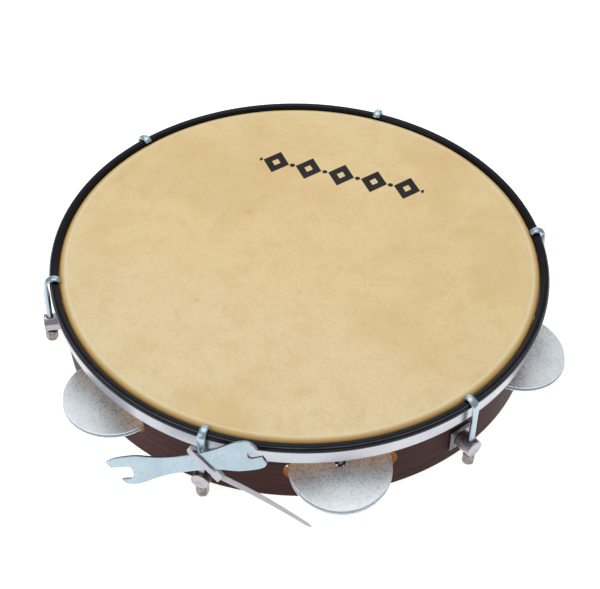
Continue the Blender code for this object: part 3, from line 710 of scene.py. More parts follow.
def bar(name: str, radius: float, low: float, high: float, sides: int = 32,
        centre: tuple[float, float] = (0.0, 0.0)) -> bpy.types.Object:
    """A round bar along Z.

    Args:
        name: The piece's name.
        radius: Its radius.
        low: Height of its foot.
        high: Height of its top.
        sides: Facets round it.
        centre: Where its axis stands.

    Returns:
        The piece.
    """
    deselect()
    bpy.ops.mesh.primitive_cylinder_add(vertices=sides, radius=radius, depth=high - low,
                                        location=(*centre, (low + high) / 2))
    return settle(name)


def block(name: str, size: Sequence[float], centre: Sequence[float]) -> bpy.types.Object:
    """A box of a size about a centre."""
    deselect()
    bpy.ops.mesh.primitive_cube_add(size=1.0, location=tuple(centre))
    bpy.context.active_object.scale = tuple(size)
    return settle(name)


def cut(piece: bpy.types.Object, cutters: Sequence[bpy.types.Object],
        operation: str = "DIFFERENCE") -> None:
    """Apply Booleans to a piece and throw the cutters away.

    Args:
        piece: What is cut.
        cutters: Closed pieces, applied in turn.
        operation: DIFFERENCE, UNION or INTERSECT.
    """
    for cutter in cutters:
        step = piece.modifiers.new("cut", "BOOLEAN")
        step.operation = operation
        step.solver = "EXACT"
        step.object = cutter
        activate(piece)
        bpy.ops.object.modifier_apply(modifier=step.name)
        bpy.data.objects.remove(cutter, do_unlink=True)


def copied(piece: bpy.types.Object, name: str, matrix: Matrix) -> bpy.types.Object:
    """A copy with a mesh of its own, put in its place."""
    twin = piece.copy()
    twin.data = piece.data.copy()
    twin.name = name
    twin.data.name = name
    twin.data.transform(matrix)
    bpy.context.scene.collection.objects.link(twin)
    return twin


def placed(piece: bpy.types.Object, matrix: Matrix) -> bpy.types.Object:
    """The piece itself, its mesh moved by a matrix."""
    piece.data.transform(matrix)
    piece.data.update()
    return piece


def discard(*pieces: bpy.types.Object) -> None:
    """Remove patterns that only served to be copied."""
    for piece in pieces:
        bpy.data.objects.remove(piece, do_unlink=True)


def smooth(piece: bpy.types.Object, degrees: float = 35.0) -> None:
    """Shade a piece smooth, with edges sharper than an angle kept."""
    activate(piece)
    bpy.ops.object.shade_smooth_by_angle(angle=math.radians(degrees))
    step = piece.modifiers.new("even", "WEIGHTED_NORMAL")
    step.keep_sharp = True
    step.weight = EVEN_WEIGHT
    bpy.ops.object.modifier_apply(modifier=step.name)


def soften(piece: bpy.types.Object, width: float, segments: int = 2,
           degrees: float = 30.0) -> None:
    """Round every sharp edge a little."""
    step = piece.modifiers.new("soften", "BEVEL")
    step.width = width
    step.segments = segments
    step.limit_method = "ANGLE"
    step.angle_limit = math.radians(degrees)
    step.harden_normals = False
    activate(piece)
    bpy.ops.object.modifier_apply(modifier=step.name)


def about(angle: float, radius: float = 0.0, height: float = 0.0) -> Matrix:
    """A frame on the drum: X outwards, Y along the rim, Z up."""
    return Matrix.Rotation(angle, 4, "Z") @ Matrix.Translation((radius, 0.0, height))


def box_middle(node: str) -> Vector:
    """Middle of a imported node's box."""
    low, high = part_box(node)
    return (Vector(low) + Vector(high)) / 2


def off_axis(node: str) -> float:
    """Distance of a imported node's middle from the drum's axis."""
    middle = box_middle(node)
    return math.hypot(middle.x, middle.y)


def bearing(node: str) -> float:
    """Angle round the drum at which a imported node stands."""
    middle = box_middle(node)
    return math.atan2(middle.y, middle.x)


def node_points(node: str) -> np.ndarray:
    """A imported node's points, a row each."""
    return np.array([list(v.co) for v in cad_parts[node].data.vertices])


def disc_lie(node: str) -> tuple[Vector, Vector]:
    """How a packed disc lies.

    Args:
        node: The node's name.

    Returns:
        Its middle and the upward unit vector through it.
    """
    points = node_points(node)
    middle = (points.max(axis=0) + points.min(axis=0)) / 2
    _, _, rows = np.linalg.svd(points - points.mean(axis=0), full_matrices=False)
    normal = Vector(rows[2])
    return Vector(middle), normal if normal.z > 0 else -normal


def lying(height: float) -> Matrix:
    """Turns what stands along Z to lie along X at a height."""
    return Matrix.Translation((0, 0, height)) @ Matrix.Rotation(math.pi / 2, 4, "Y")


@dataclass
class Assembly:
    """A group of pieces that are built together."""

    pieces: list[bpy.types.Object] = field(default_factory=list, init=False)

    def build(self) -> None:
        """Model the pieces and tie them to the model."""
        raise NotImplementedError

    def dress(self, piece: bpy.types.Object, finish: Finish, slot: str, body: str,
              *nodes: str, degrees: float = 35.0) -> None:
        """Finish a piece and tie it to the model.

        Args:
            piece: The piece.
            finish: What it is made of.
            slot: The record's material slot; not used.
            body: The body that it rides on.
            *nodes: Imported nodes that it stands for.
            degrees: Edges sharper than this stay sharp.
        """
        if not piece.data.materials:
            piece.data.materials.append(finish.material())
        smooth(piece, degrees)
        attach(piece, body)
        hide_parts(*nodes)
        LOG.info("%s: %d faces, rides on %s", piece.name, len(piece.data.polygons), body)
        self.pieces.append(piece)


# --- the wooden rim -------------------------------------------------------------
@dataclass
class Rim(Assembly):
    """The bent wooden rim with its jingle slots and drilled holes."""

    wall: float = 7.0 * MM
    bearing_round: float = 1.6 * MM
    bearing_bevel: float = 3.4 * MM
    base_round: float = 0.9 * MM
    slot_half_length: float = 28.5 * MM
    slot_floor: float = 13.6 * MM
    slot_height: float = 13.4 * MM
    slot_corner: float = 6.7 * MM
    screw_hole: float = 2.1 * MM
    pin_hole: float = 1.7 * MM
    pin_recess: float = 2.7 * MM
    pin_recess_depth: float = 1.4 * MM
    pin_above: float = 6.6 * MM
    screw_height: float = 14.6 * MM
    past: float = 3.0 * MM

    def build(self) -> None:
        """Turn the rim and cut it."""
        low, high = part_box("shell")
        radius, height = high[0], high[2]
        inner = radius - self.wall
        rim = section_plate("rim", (inner, 0.0), (radius, height))
        near = self.wall / 4
        with editing(rim):
            pick(Pick.POINTS, lambda p: p.z > height - near and p.x > radius - near)
            round_over(self.bearing_round, segments=6, corners=True)
            pick(Pick.POINTS, lambda p: p.z > height - near and p.x < inner + near)
            round_over(self.bearing_bevel, segments=1, corners=True)
            pick(Pick.POINTS, lambda p: p.z < near)
            round_over(self.base_round, segments=3, corners=True)
            turn_outline()
        self._material_zones(rim, radius, inner)
        cut(rim, self._cutters(radius, inner))
        self.dress(rim, Finish.VENEER, "rosewood_veneer", "frame_drum", "shell", degrees=28)

    def _material_zones(self, rim: bpy.types.Object, radius: float, inner: float) -> None:
        """Veneer outside, bare plies inside."""
        rim.data.materials.append(Finish.VENEER.material())
        rim.data.materials.append(Finish.PLY.material())
        for face in rim.data.polygons:
            across = math.hypot(face.center.x, face.center.y)
            face.material_index = 1 if across < inner + self.wall / 4 else 0

    def _cutters(self, radius: float, inner: float) -> list[bpy.types.Object]:
        """One slot with rounded ends at each jingle pin, and every drilled hole."""
        middle = radius - self.wall / 2
        slot = block("slot", (3 * self.wall, 2 * self.slot_half_length, self.slot_height),
                     (middle, 0.0, self.slot_floor + self.slot_height / 2))
        with editing(slot):
            end = self.slot_half_length - TOUCH
            pick(Pick.EDGES, lambda p: abs(p.y) > end)
            keep_edges_along(Vector((1, 0, 0)), self.wall)
            round_over(self.slot_corner - TOUCH, segments=14)
        pin = bar("pin_hole", self.pin_hole, -self.past,
                  self.slot_floor + self.slot_height + self.pin_above, sides=24,
                  centre=(middle, 0.0))
        recess = bar("pin_recess", self.pin_recess, -self.past, self.pin_recess_depth, sides=24,
                     centre=(middle, 0.0))
        patterns = [slot, pin, recess]
        cutters: list[bpy.types.Object] = []
        for number in range(1, JINGLE_SETS + 1):
            turn = about(bearing(f"jingle_pin_{number}"))
            cutters += [copied(pattern, f"{pattern.name}_{number}", turn)
                        for pattern in patterns]
        hole = bar("screw_hole", self.screw_hole, inner - self.past, radius + self.past, sides=24)
        placed(hole, lying(self.screw_height))
        for number in range(1, LUGS + 1):
            cutters.append(copied(hole, f"screw_hole_{number}",
                                  about(bearing(f"lug_post_{number}"))))
        discard(*patterns, hole)
        for cutter in cutters:
            cutter.data.materials.append(Finish.VENEER.material())
            cutter.data.materials.append(Finish.PLY.material())
            for face in cutter.data.polygons:
                face.material_index = 1
        return cutters


# --- skin -----------------------------------------------------------------------
@dataclass
class Skin(Assembly):
    """The head, bent over the rim's edge into a short collar."""

    thickness: float = 0.6 * MM
    crest_radius: float = 125.0 * MM
    swell_radius: float = 128.42 * MM
    swell_height: float = 2.2 * MM
    tuck_depth: float = 3.9 * MM
    turned_reach: float = 5.0 * MM
    swell_steps: int = 8

    def build(self) -> None:
        """Turn the collar and close the flat of the skin."""
        low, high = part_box("head")
        radius, foot, top = high[0], low[2], high[2]
        flat = self.crest_radius - self.turned_reach
        skin = section_plate("skin", (radius - self.thickness, foot), (radius, top))
        with editing(skin):
            # only the collar's lower edge is kept, and both its ends are drawn up from it
            pick(Pick.POINTS, lambda p: p.z > top - TOUCH)
            bpy.ops.mesh.delete(type="VERT")
            self._outline(radius, foot, top, flat)
            spin_all()
            for level in (top, top - self.thickness):
                pick(Pick.EDGES, lambda p: abs(p.z - level) < HAIR
                     and math.hypot(p.x, p.y) < flat + TOUCH)
                bpy.ops.mesh.fill_grid(span=TURN_STEPS // 4)
            heal()
        self.dress(skin, Finish.SKIN, "goat_skin", "frame_drum", "head", degrees=60)

    def _outline(self, radius: float, foot: float, top: float, flat: float) -> None:
        """Draw the section's two feet up, over the swell and in to the flat.

        Args:
            radius: Outside of the collar.
            foot: Height of its lower edge.
            top: Height of the flat skin.
            flat: Radius at which the turned part meets the middle.
        """
        for inset in (0.0, self.thickness):
            start, level = radius - inset, top - inset
            pick(Pick.POINTS, lambda p: abs(p.x - start) < TOUCH)
            path = [(start, top - self.tuck_depth)]
            for step in range(self.swell_steps + 1):
                angle = math.radians(90.0 * step / self.swell_steps)
                path.append((self.crest_radius - inset
                             + (self.swell_radius - self.crest_radius) * math.cos(angle),
                             level - self.swell_height * (1 - math.sin(angle))))
            path.append((flat, level))
            here = Vector((start, 0.0, foot))
            for across, height in path:
                there = Vector((across, 0.0, height))
                push(there - here)
                here = there


# --- hoop and edging ------------------------------------------------------------
@dataclass
class TensionHoop(Assembly):
    """The bright steel counter-hoop, its inner ledge and its round black edging."""

    wall: float = 1.6 * MM
    ledge_reach: float = 2.0 * MM
    ledge_drop: float = 2.0 * MM
    ledge_thickness: float = 1.4 * MM
    edging_radius: float = 2.45 * MM
    lip_round: float = 0.45 * MM
    strip_width: float = 2.0 * MM
    strip_round: float = 0.5 * MM

    def build(self) -> None:
        """Turn the band, the strip under it and the edging on it."""
        self._band()
        self._strip()
        self._edging()

    def _band(self) -> None:
        """The steel band: its wall with the ledge drawn out of it."""
        low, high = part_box("counter_hoop")
        radius, foot, top = high[0], low[2], high[2]
        inner = radius - self.wall
        ledge = top - self.ledge_drop
        band = section_plate("counter_hoop_band", (inner, foot), (radius, top))
        with editing(band):
            for height in (ledge - self.ledge_thickness, ledge):
                pick_all()
                bpy.ops.mesh.bisect(plane_co=(0, 0, height), plane_no=(0, 0, 1))
            pick(Pick.EDGES, lambda p: abs(p.x - inner) < HAIR
                 and ledge - self.ledge_thickness - HAIR < p.z < ledge + HAIR)
            push((-self.ledge_reach, 0, 0))
            pick(Pick.POINTS, lambda p: p.z < foot + HAIR or p.z > top - HAIR)
            round_over(self.lip_round, segments=3, corners=True)
            pick_all()
            bpy.ops.mesh.dissolve_limited(angle_limit=math.radians(1))
            turn_outline()
        self.dress(band, Finish.STEEL, "bright_steel", "tension_hoop", "counter_hoop")

    def _strip(self) -> None:
        """The steel strip that the skin is tucked round, under the ledge."""
        low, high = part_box("flesh_hoop")
        strip = section_plate("flesh_hoop_strip", (high[0] - self.strip_width, low[2]),
                              (high[0], high[2]))
        with editing(strip):
            pick_all()
            round_over(self.strip_round, segments=3, corners=True)
            turn_outline(steps=120)
        self.dress(strip, Finish.STEEL, "bright_steel", "tension_hoop", "flesh_hoop")

    def _edging(self) -> None:
        """The round edging, slit underneath where it grips the hoop."""
        low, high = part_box("hoop_trim")
        radius = self.edging_radius
        centre = Vector((high[0] - radius, 0.0, high[2] - radius))
        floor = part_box("counter_hoop")[1][2] + GAP
        slit = self.wall / 2 + GAP
        deselect()
        bpy.ops.mesh.primitive_circle_add(vertices=40, radius=radius, fill_type="NOTHING",
                                          location=centre, rotation=(math.pi / 2, 0, 0))
        edging = settle("round_edging")
        with editing(edging):
            pick(Pick.POINTS, lambda p: p.z < centre.z and abs(p.x - centre.x) < slit)
            bpy.ops.mesh.delete(type="VERT")
            lips = min(v.co.z for v in bmesh.from_edit_mesh(edging.data).verts)
            for side in (-1, 1):
                pick(Pick.POINTS, lambda p: p.z < lips + TOUCH
                     and (p.x - centre.x) * side > 0)
                push((0, 0, floor - lips))
            pick(Pick.POINTS, lambda p: abs(p.z - floor) < HAIR
                 and abs(p.x - centre.x) < slit + radius / 4)
            bpy.ops.mesh.edge_face_add()
            spin_all()
        self.dress(edging, Finish.EDGING, "black_edging", "tension_hoop", "hoop_trim",
                   degrees=50)


# --- hooks, lugs and nuts -------------------------------------------------------
@dataclass
class TensionGear(Assembly):
    """Six hooks over the hoop, each drawn down through its lug by a nut."""

    shank_radius: float = 1.6 * MM
    strap_half_width: float = 2.15 * MM
    strap_half_thickness: float = 0.9 * MM
    strap_blend: float = 7.0 * MM
    wrap: float = math.radians(146.0)
    edging_radius: float = 2.45 * MM
    plate_side: float = 13.2 * MM
    plate_thickness: float = 0.8 * MM
    plate_bevel: float = 1.5 * MM
    plate_flange: float = 0.2 * MM
    plate_rise: float = 0.9 * MM
    post_radius: float = 4.7 * MM
    bore_room: float = 0.3 * MM
    screw_radius: float = 1.8 * MM
    screw_head: float = 3.8 * MM
    screw_head_height: float = 2.2 * MM
    nut_flats: float = 5.8 * MM
    nut_chamfer: float = 0.6 * MM
    foot_inset: float = 0.4 * MM
    foot_drop: float = 0.25 * MM
    strap_round: float = 0.25 * MM
    strap_squareness: float = 0.72
    square_from: float = 0.6
    neck_rings: int = 4
    claw_rings: int = 14
    bevel_normals: tuple[float, float] = (0.1, 0.97)
    plate_round: float = 0.22 * MM
    post_beyond_shank: float = 1.5 * MM
    post_round: float = 0.5 * MM
    post_heel_round: float = 0.2 * MM
    edge_round: float = 0.12 * MM
    head_round: float = 1.1 * MM
    recess: tuple[float, float, float] = (4.2 * MM, 0.8 * MM, 1.4 * MM)
    past: float = 2.0 * MM

    def build(self) -> None:
        """Model each kind of piece once and set it at every lug."""
        patterns = [
            (self._hook(), "tension_hook", Finish.ZINC, "bright_zinc", 45.0),
            (self._plate(), "lug_plate", Finish.NICKEL, "satin_nickel", 25.0),
            (self._post(), "lug_post", Finish.NICKEL, "satin_nickel", 35.0),
            (self._screw(), "lug_screw", Finish.STEEL, "bright_steel", 35.0),
            (self._nut(), "tension_nut", Finish.NUT, "satin_nickel", 30.0)]
        owners = {"tension_hook": "tension_hoop", "tension_nut": "nut_{}"}
        for number in range(1, LUGS + 1):
            turn = about(bearing(f"tension_nut_{number}"))
            for pattern, node, finish, slot, degrees in patterns:
                body = owners.get(node, "frame_drum").format(number)
                piece = copied(pattern, f"{node}_{number}_fine", turn)
                self.dress(piece, finish, slot, body, f"{node}_{number}", degrees=degrees)
        discard(*(pattern for pattern, *_ in patterns))

    def _hook(self) -> bpy.types.Object:
        """A round shank drawn flat into a strap that claws over the edging."""
        axis = off_axis("tension_nut_1")
        low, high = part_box("hoop_trim")
        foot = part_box("tension_hook_1")[0][2]
        centre = Vector((high[0] - self.edging_radius, 0, high[2] - self.edging_radius))
        span = axis - centre.x
        rise = self.edging_radius + GAP + self.strap_half_thickness
        deselect()
        bpy.ops.mesh.primitive_cylinder_add(
            vertices=24, radius=self.shank_radius, depth=centre.z - self.strap_blend - foot,
            location=(axis, 0, (foot + centre.z - self.strap_blend) / 2))
        hook = settle("hook")
        here = Vector((axis, 0, centre.z - self.strap_blend))
        with editing(hook):
            pick_faces_towards(Vector((0, 0, -1)))
            bpy.ops.mesh.inset(thickness=self.foot_inset)
            bpy.ops.transform.translate(value=(0, 0, -self.foot_drop))
            pick_faces_towards(Vector((0, 0, 1)))
            width, thick, turned = 1.0, 1.0, 0.0
            for step in range(1 - self.neck_rings, self.claw_rings + 1):
                if step < 0:
                    share = 1 + step / self.neck_rings
                    there = Vector((axis, 0, centre.z - self.strap_blend * (1 - share)))
                    lean = 0.0
                else:
                    share = 1.0
                    angle = self.wrap * step / self.claw_rings
                    reach = span if angle < math.pi / 2 else rise
                    there = Vector((centre.x + reach * math.cos(angle), 0,
                                    centre.z + rise * math.sin(angle)))
                    lean = math.atan2(reach * math.sin(angle), rise * math.cos(angle))
                    if step == 0:
                        continue
                push(there - here)
                self._shape_ring(there, share, lean - turned, width, thick)
                width = 1 + (self.strap_half_width / self.shank_radius - 1) * share
                thick = 1 + (self.strap_half_thickness / self.shank_radius - 1) * share
                here, turned = there, lean
            self._square_off(centre.z - self.strap_blend * self.square_from)
        soften(hook, self.strap_round, segments=2, degrees=50)
        return hook

    def _shape_ring(self, middle: Vector, share: float, lean: float, width: float,
                    thick: float) -> None:
        """Turn and flatten the ring that was just drawn out.

        Args:
            middle: The ring's middle.
            share: How far it has gone from round to flat.
            lean: Further turn about the Y axis.
            width: Its present width, relative to the shank's.
            thick: Its present thickness, relative to the shank's.
        """
        new_width = 1 + (self.strap_half_width / self.shank_radius - 1) * share
        new_thick = 1 + (self.strap_half_thickness / self.shank_radius - 1) * share
        scale = Matrix.Diagonal((new_thick / thick, new_width / width, 1.0))
        turn = Matrix.Rotation(-lean, 3, "Y")
        with shaping() as shape:
            for point in {v for face in shape.faces if face.select for v in face.verts}:
                offset = point.co - middle
                if share < 1.0 or new_thick != thick:
                    offset = scale @ offset
                point.co = middle + turn @ offset

    def _square_off(self, level: float) -> None:
        """Make the strap's flats flatter than an oval, above a level."""
        limit = self.strap_half_width
        with shaping() as shape:
            for point in shape.verts:
                if point.co.z > level:
                    share = min(1.0, abs(point.co.y) / limit) ** self.strap_squareness
                    point.co.y = math.copysign(limit * share, point.co.y)

    def _plate(self) -> bpy.types.Object:
        """A square pad with a narrow flange, bevelled sides and a flat face."""
        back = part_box("shell")[1][0] + GAP
        height = box_middle("lug_post_1").z
        plate = block("plate", (self.plate_thickness, self.plate_side, self.plate_side),
                      (back + self.plate_thickness / 2, 0, height))
        with editing(plate):
            pick_faces_towards(Vector((1, 0, 0)))
            bpy.ops.mesh.inset(thickness=self.plate_flange)
            push((self.plate_rise, 0, 0))
            share = 1 - 2 * self.plate_bevel / (self.plate_side - 2 * self.plate_flange)
            bpy.ops.transform.resize(value=(1, share, share))
        soften(plate, self.plate_round, segments=3, degrees=20)
        hole = bar("hole", self.screw_radius + self.bore_room, back - self.past,
                   back + self.plate_thickness + self.plate_rise + self.past, sides=32)
        placed(hole, lying(height))
        cut(plate, [hole])
        # The slanting bevel faces take the darker nickel, a painted dark reflection.
        for finish in (Finish.NICKEL, Finish.BEVEL):
            plate.data.materials.append(finish.material())
        for face in plate.data.polygons:
            slanting = self.bevel_normals[0] < face.normal.x < self.bevel_normals[1]
            face.material_index = 1 if slanting and face.center.x > back + GAP else 0
        return plate

    def _post(self) -> bpy.types.Object:
        """A round post with a domed end, bored across for the shank."""
        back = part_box("shell")[1][0] + GAP + self.plate_thickness + self.plate_rise + GAP
        height = box_middle("lug_post_1").z
        axis = off_axis("tension_nut_1")
        front = axis + self.shank_radius + self.bore_room + self.post_beyond_shank
        post = bar("post", self.post_radius, back, front, sides=64)
        with editing(post):
            pick_faces_towards(Vector((0, 0, 1)))
            bpy.ops.mesh.select_mode(type="EDGE")
            bpy.ops.mesh.region_to_loop()
            round_over(self.post_round, segments=4)
            pick(Pick.EDGES, lambda p: abs(p.z - back) < HAIR)
            round_over(self.post_heel_round, segments=2)
        placed(post, lying(height))
        reach = self.post_radius + self.past
        across = bar("across", self.shank_radius + self.bore_room, height - reach,
                     height + reach, sides=40, centre=(axis, 0))
        blind = bar("blind", self.screw_radius + self.bore_room, back - self.past,
                    axis - self.shank_radius - 2 * self.bore_room, sides=40)
        placed(blind, lying(height))
        cut(post, [across, blind])
        soften(post, self.edge_round, segments=2, degrees=40)
        return post

    def _screw(self) -> bpy.types.Object:
        """A pan-headed screw from inside the rim, with a cross recess."""
        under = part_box("shell")[1][0] - Rim.wall - GAP
        tip = off_axis("tension_nut_1") - self.shank_radius - 2 * self.bore_room - GAP
        height = box_middle("lug_post_1").z
        screw = bar("screw", self.screw_radius, under - self.screw_head_height / 2, tip, sides=32)
        head = bar("head", self.screw_head, under - self.screw_head_height, under, sides=48)
        with editing(head):
            pick(Pick.EDGES, lambda p: p.z < under - self.screw_head_height + HAIR)
            round_over(self.head_round, segments=5)
        cut(screw, [head], "UNION")
        crosses = []
        for turned in (0.0, math.pi / 2):
            arm = block("arm", self.recess, (0, 0, under - self.screw_head_height))
            crosses.append(placed(arm, Matrix.Rotation(turned, 4, "Z")))
        cut(screw, crosses)
        return placed(screw, lying(height))

    def _nut(self) -> bpy.types.Object:
        """A long hexagon nut, chamfered to a circle at both ends."""
        low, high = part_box("tension_nut_1")
        axis = off_axis("tension_nut_1")
        corner = self.nut_flats / math.cos(math.pi / 6) / 2
        deselect()
        bpy.ops.mesh.primitive_cylinder_add(
            vertices=6, radius=corner, depth=high[2] - low[2],
            location=(axis, 0, (low[2] + high[2]) / 2), rotation=(0, 0, math.pi / 2))
        nut = settle("nut")
        barrel = bar("barrel", corner, low[2], high[2], sides=72, centre=(axis, 0))
        with editing(barrel):
            for level in (low[2], high[2]):
                pick(Pick.EDGES, lambda p: abs(p.z - level) < HAIR)
                round_over(self.nut_chamfer, segments=1)
        cut(nut, [barrel], "INTERSECT")
        cut(nut, [bar("bore", self.shank_radius + self.bore_room, low[2] - self.past,
                      high[2] + self.past, sides=40, centre=(axis, 0))])
        soften(nut, self.edge_round, segments=2, degrees=25)
        return nut


# --- jingles --------------------------------------------------------------------
@dataclass
class JingleStack(Assembly):
    """Five sets of two domed jingles with a flat damper between, each on its pin."""

    radius: float = 26.0 * MM
    sheet: float = 0.8 * MM
    dome_radius: float = 20.0 * MM
    dome_height: float = 1.5 * MM
    hole: float = 2.7 * MM
    damper_radius: float = 23.0 * MM
    slide: float = 1.1 * MM
    rim_round: float = 0.28 * MM
    pin_radius: float = 1.4 * MM
    pin_head: float = 2.4 * MM
    pin_head_height: float = 0.8 * MM
    pin_round: float = 0.5 * MM
    steps: int = 96
    rings: int = 18

    def build(self) -> None:
        """Press one jingle and one damper and lay out the five sets."""
        domed = self._pressed("jingle", self.radius, self.dome_height)
        flat = self._pressed("damper", self.damper_radius, 0.0)
        flip = Matrix.Rotation(math.pi, 4, "X")
        level = Matrix.Identity(4)
        rise = self.dome_height + self.sheet + GAP
        for number in range(1, JINGLE_SETS + 1):
            middle, normal = disc_lie(f"jingle_damper_{number}")
            turned = normal.to_track_quat("Z", "Y").to_matrix().to_4x4()
            lie = Matrix.Translation(middle) @ turned
            shift = {"lower": 1, "damper": 0, "upper": -1}
            for label, pattern, turn in (("lower", domed, flip), ("damper", flat, level),
                                         ("upper", domed, level)):
                up = Matrix.Translation((0, 0, -shift[label] * rise))
                place = self._matched(f"jingle_{label}_{number}", lie @ up @ turn)
                if label == "lower":
                    back = Vector((middle.x, middle.y, 0.0)).normalized() * -self.slide
                    back -= normal * back.dot(normal)
                    place = Matrix.Translation(back) @ place
                piece = copied(pattern, f"jingle_{label}_{number}_fine", place)
                finish = Finish.DULL if label == "damper" else Finish.SPANGLE
                slot = "dull_sheet" if label == "damper" else "tinned_sheet"
                self.dress(piece, finish, slot, f"{label}_jingle_{number}",
                           f"jingle_{label}_{number}", degrees=40)
            self._pin(number)
        discard(domed, flat)

    def _matched(self, node: str, place: Matrix) -> Matrix:
        """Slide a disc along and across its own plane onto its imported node.

        Args:
            node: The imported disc.
            place: Where the disc would lie by the damper alone.

        Returns:
            The same lie with its middle where the node's is.
        """
        inverse = np.array(place.inverted())
        local = node_points(node) @ inverse[:3, :3].T + inverse[:3, 3]
        middle = (local.max(axis=0) + local.min(axis=0)) / 2
        thick = local[:, 2].max() - self.sheet / 2
        offset = Vector((middle[0], middle[1], thick))
        return place @ Matrix.Translation(offset)

    def _pressed(self, name: str, outer: float, rise: float) -> bpy.types.Object:
        """A pressed disc about the origin, its dome standing up along Z.

        Args:
            name: The pattern's name.
            outer: Its radius.
            rise: How far its middle stands above its rim; 0 for a flat disc.

        Returns:
            The pattern.
        """
        half = self.sheet / 2
        plate = section_plate(name, (self.hole, -half), (outer, half))
        with editing(plate):
            for step in range(1, self.rings):
                cut_at = self.hole + (outer - self.hole) * step / self.rings
                pick_all()
                bpy.ops.mesh.bisect(plane_co=(cut_at, 0, 0), plane_no=(1, 0, 0))
            pick(Pick.POINTS, lambda p: p.x > outer - HAIR or p.x < self.hole + HAIR)
            round_over(self.rim_round, segments=3, corners=True)
            self._raise(rise)
            pick_all()
            bpy.ops.mesh.dissolve_limited(angle_limit=math.radians(0.05))
            turn_outline(steps=self.steps)
        return plate

    def _raise(self, rise: float) -> None:
        """Lower the section's points from the dome's top down to its brim.

        Args:
            rise: Height of the dome.
        """
        with shaping() as shape:
            for point in shape.verts:
                share = (point.co.x - self.hole) / (self.dome_radius - self.hole)
                share = min(max(share, 0.0), 1.0)
                point.co.z -= rise * (1 - math.cos(math.pi * share)) / 2

    def _pin(self, number: int) -> None:
        """The steel pin that a set rings on, with its flat head in the base."""
        low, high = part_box(f"jingle_pin_{number}")
        middle = box_middle(f"jingle_pin_{number}")
        pin = bar(f"jingle_pin_{number}_fine", self.pin_radius,
                  low[2] + self.pin_head_height / 2, high[2], sides=32,
                  centre=(middle.x, middle.y))
        head = bar("pin_head", self.pin_head, low[2], low[2] + self.pin_head_height, sides=32,
                   centre=(middle.x, middle.y))
        with editing(pin):
            pick(Pick.EDGES, lambda p: p.z > high[2] - HAIR)
            round_over(self.pin_round, segments=3)
        cut(pin, [head], "UNION")
        self.dress(pin, Finish.STEEL, "bright_steel", "frame_drum", f"jingle_pin_{number}")


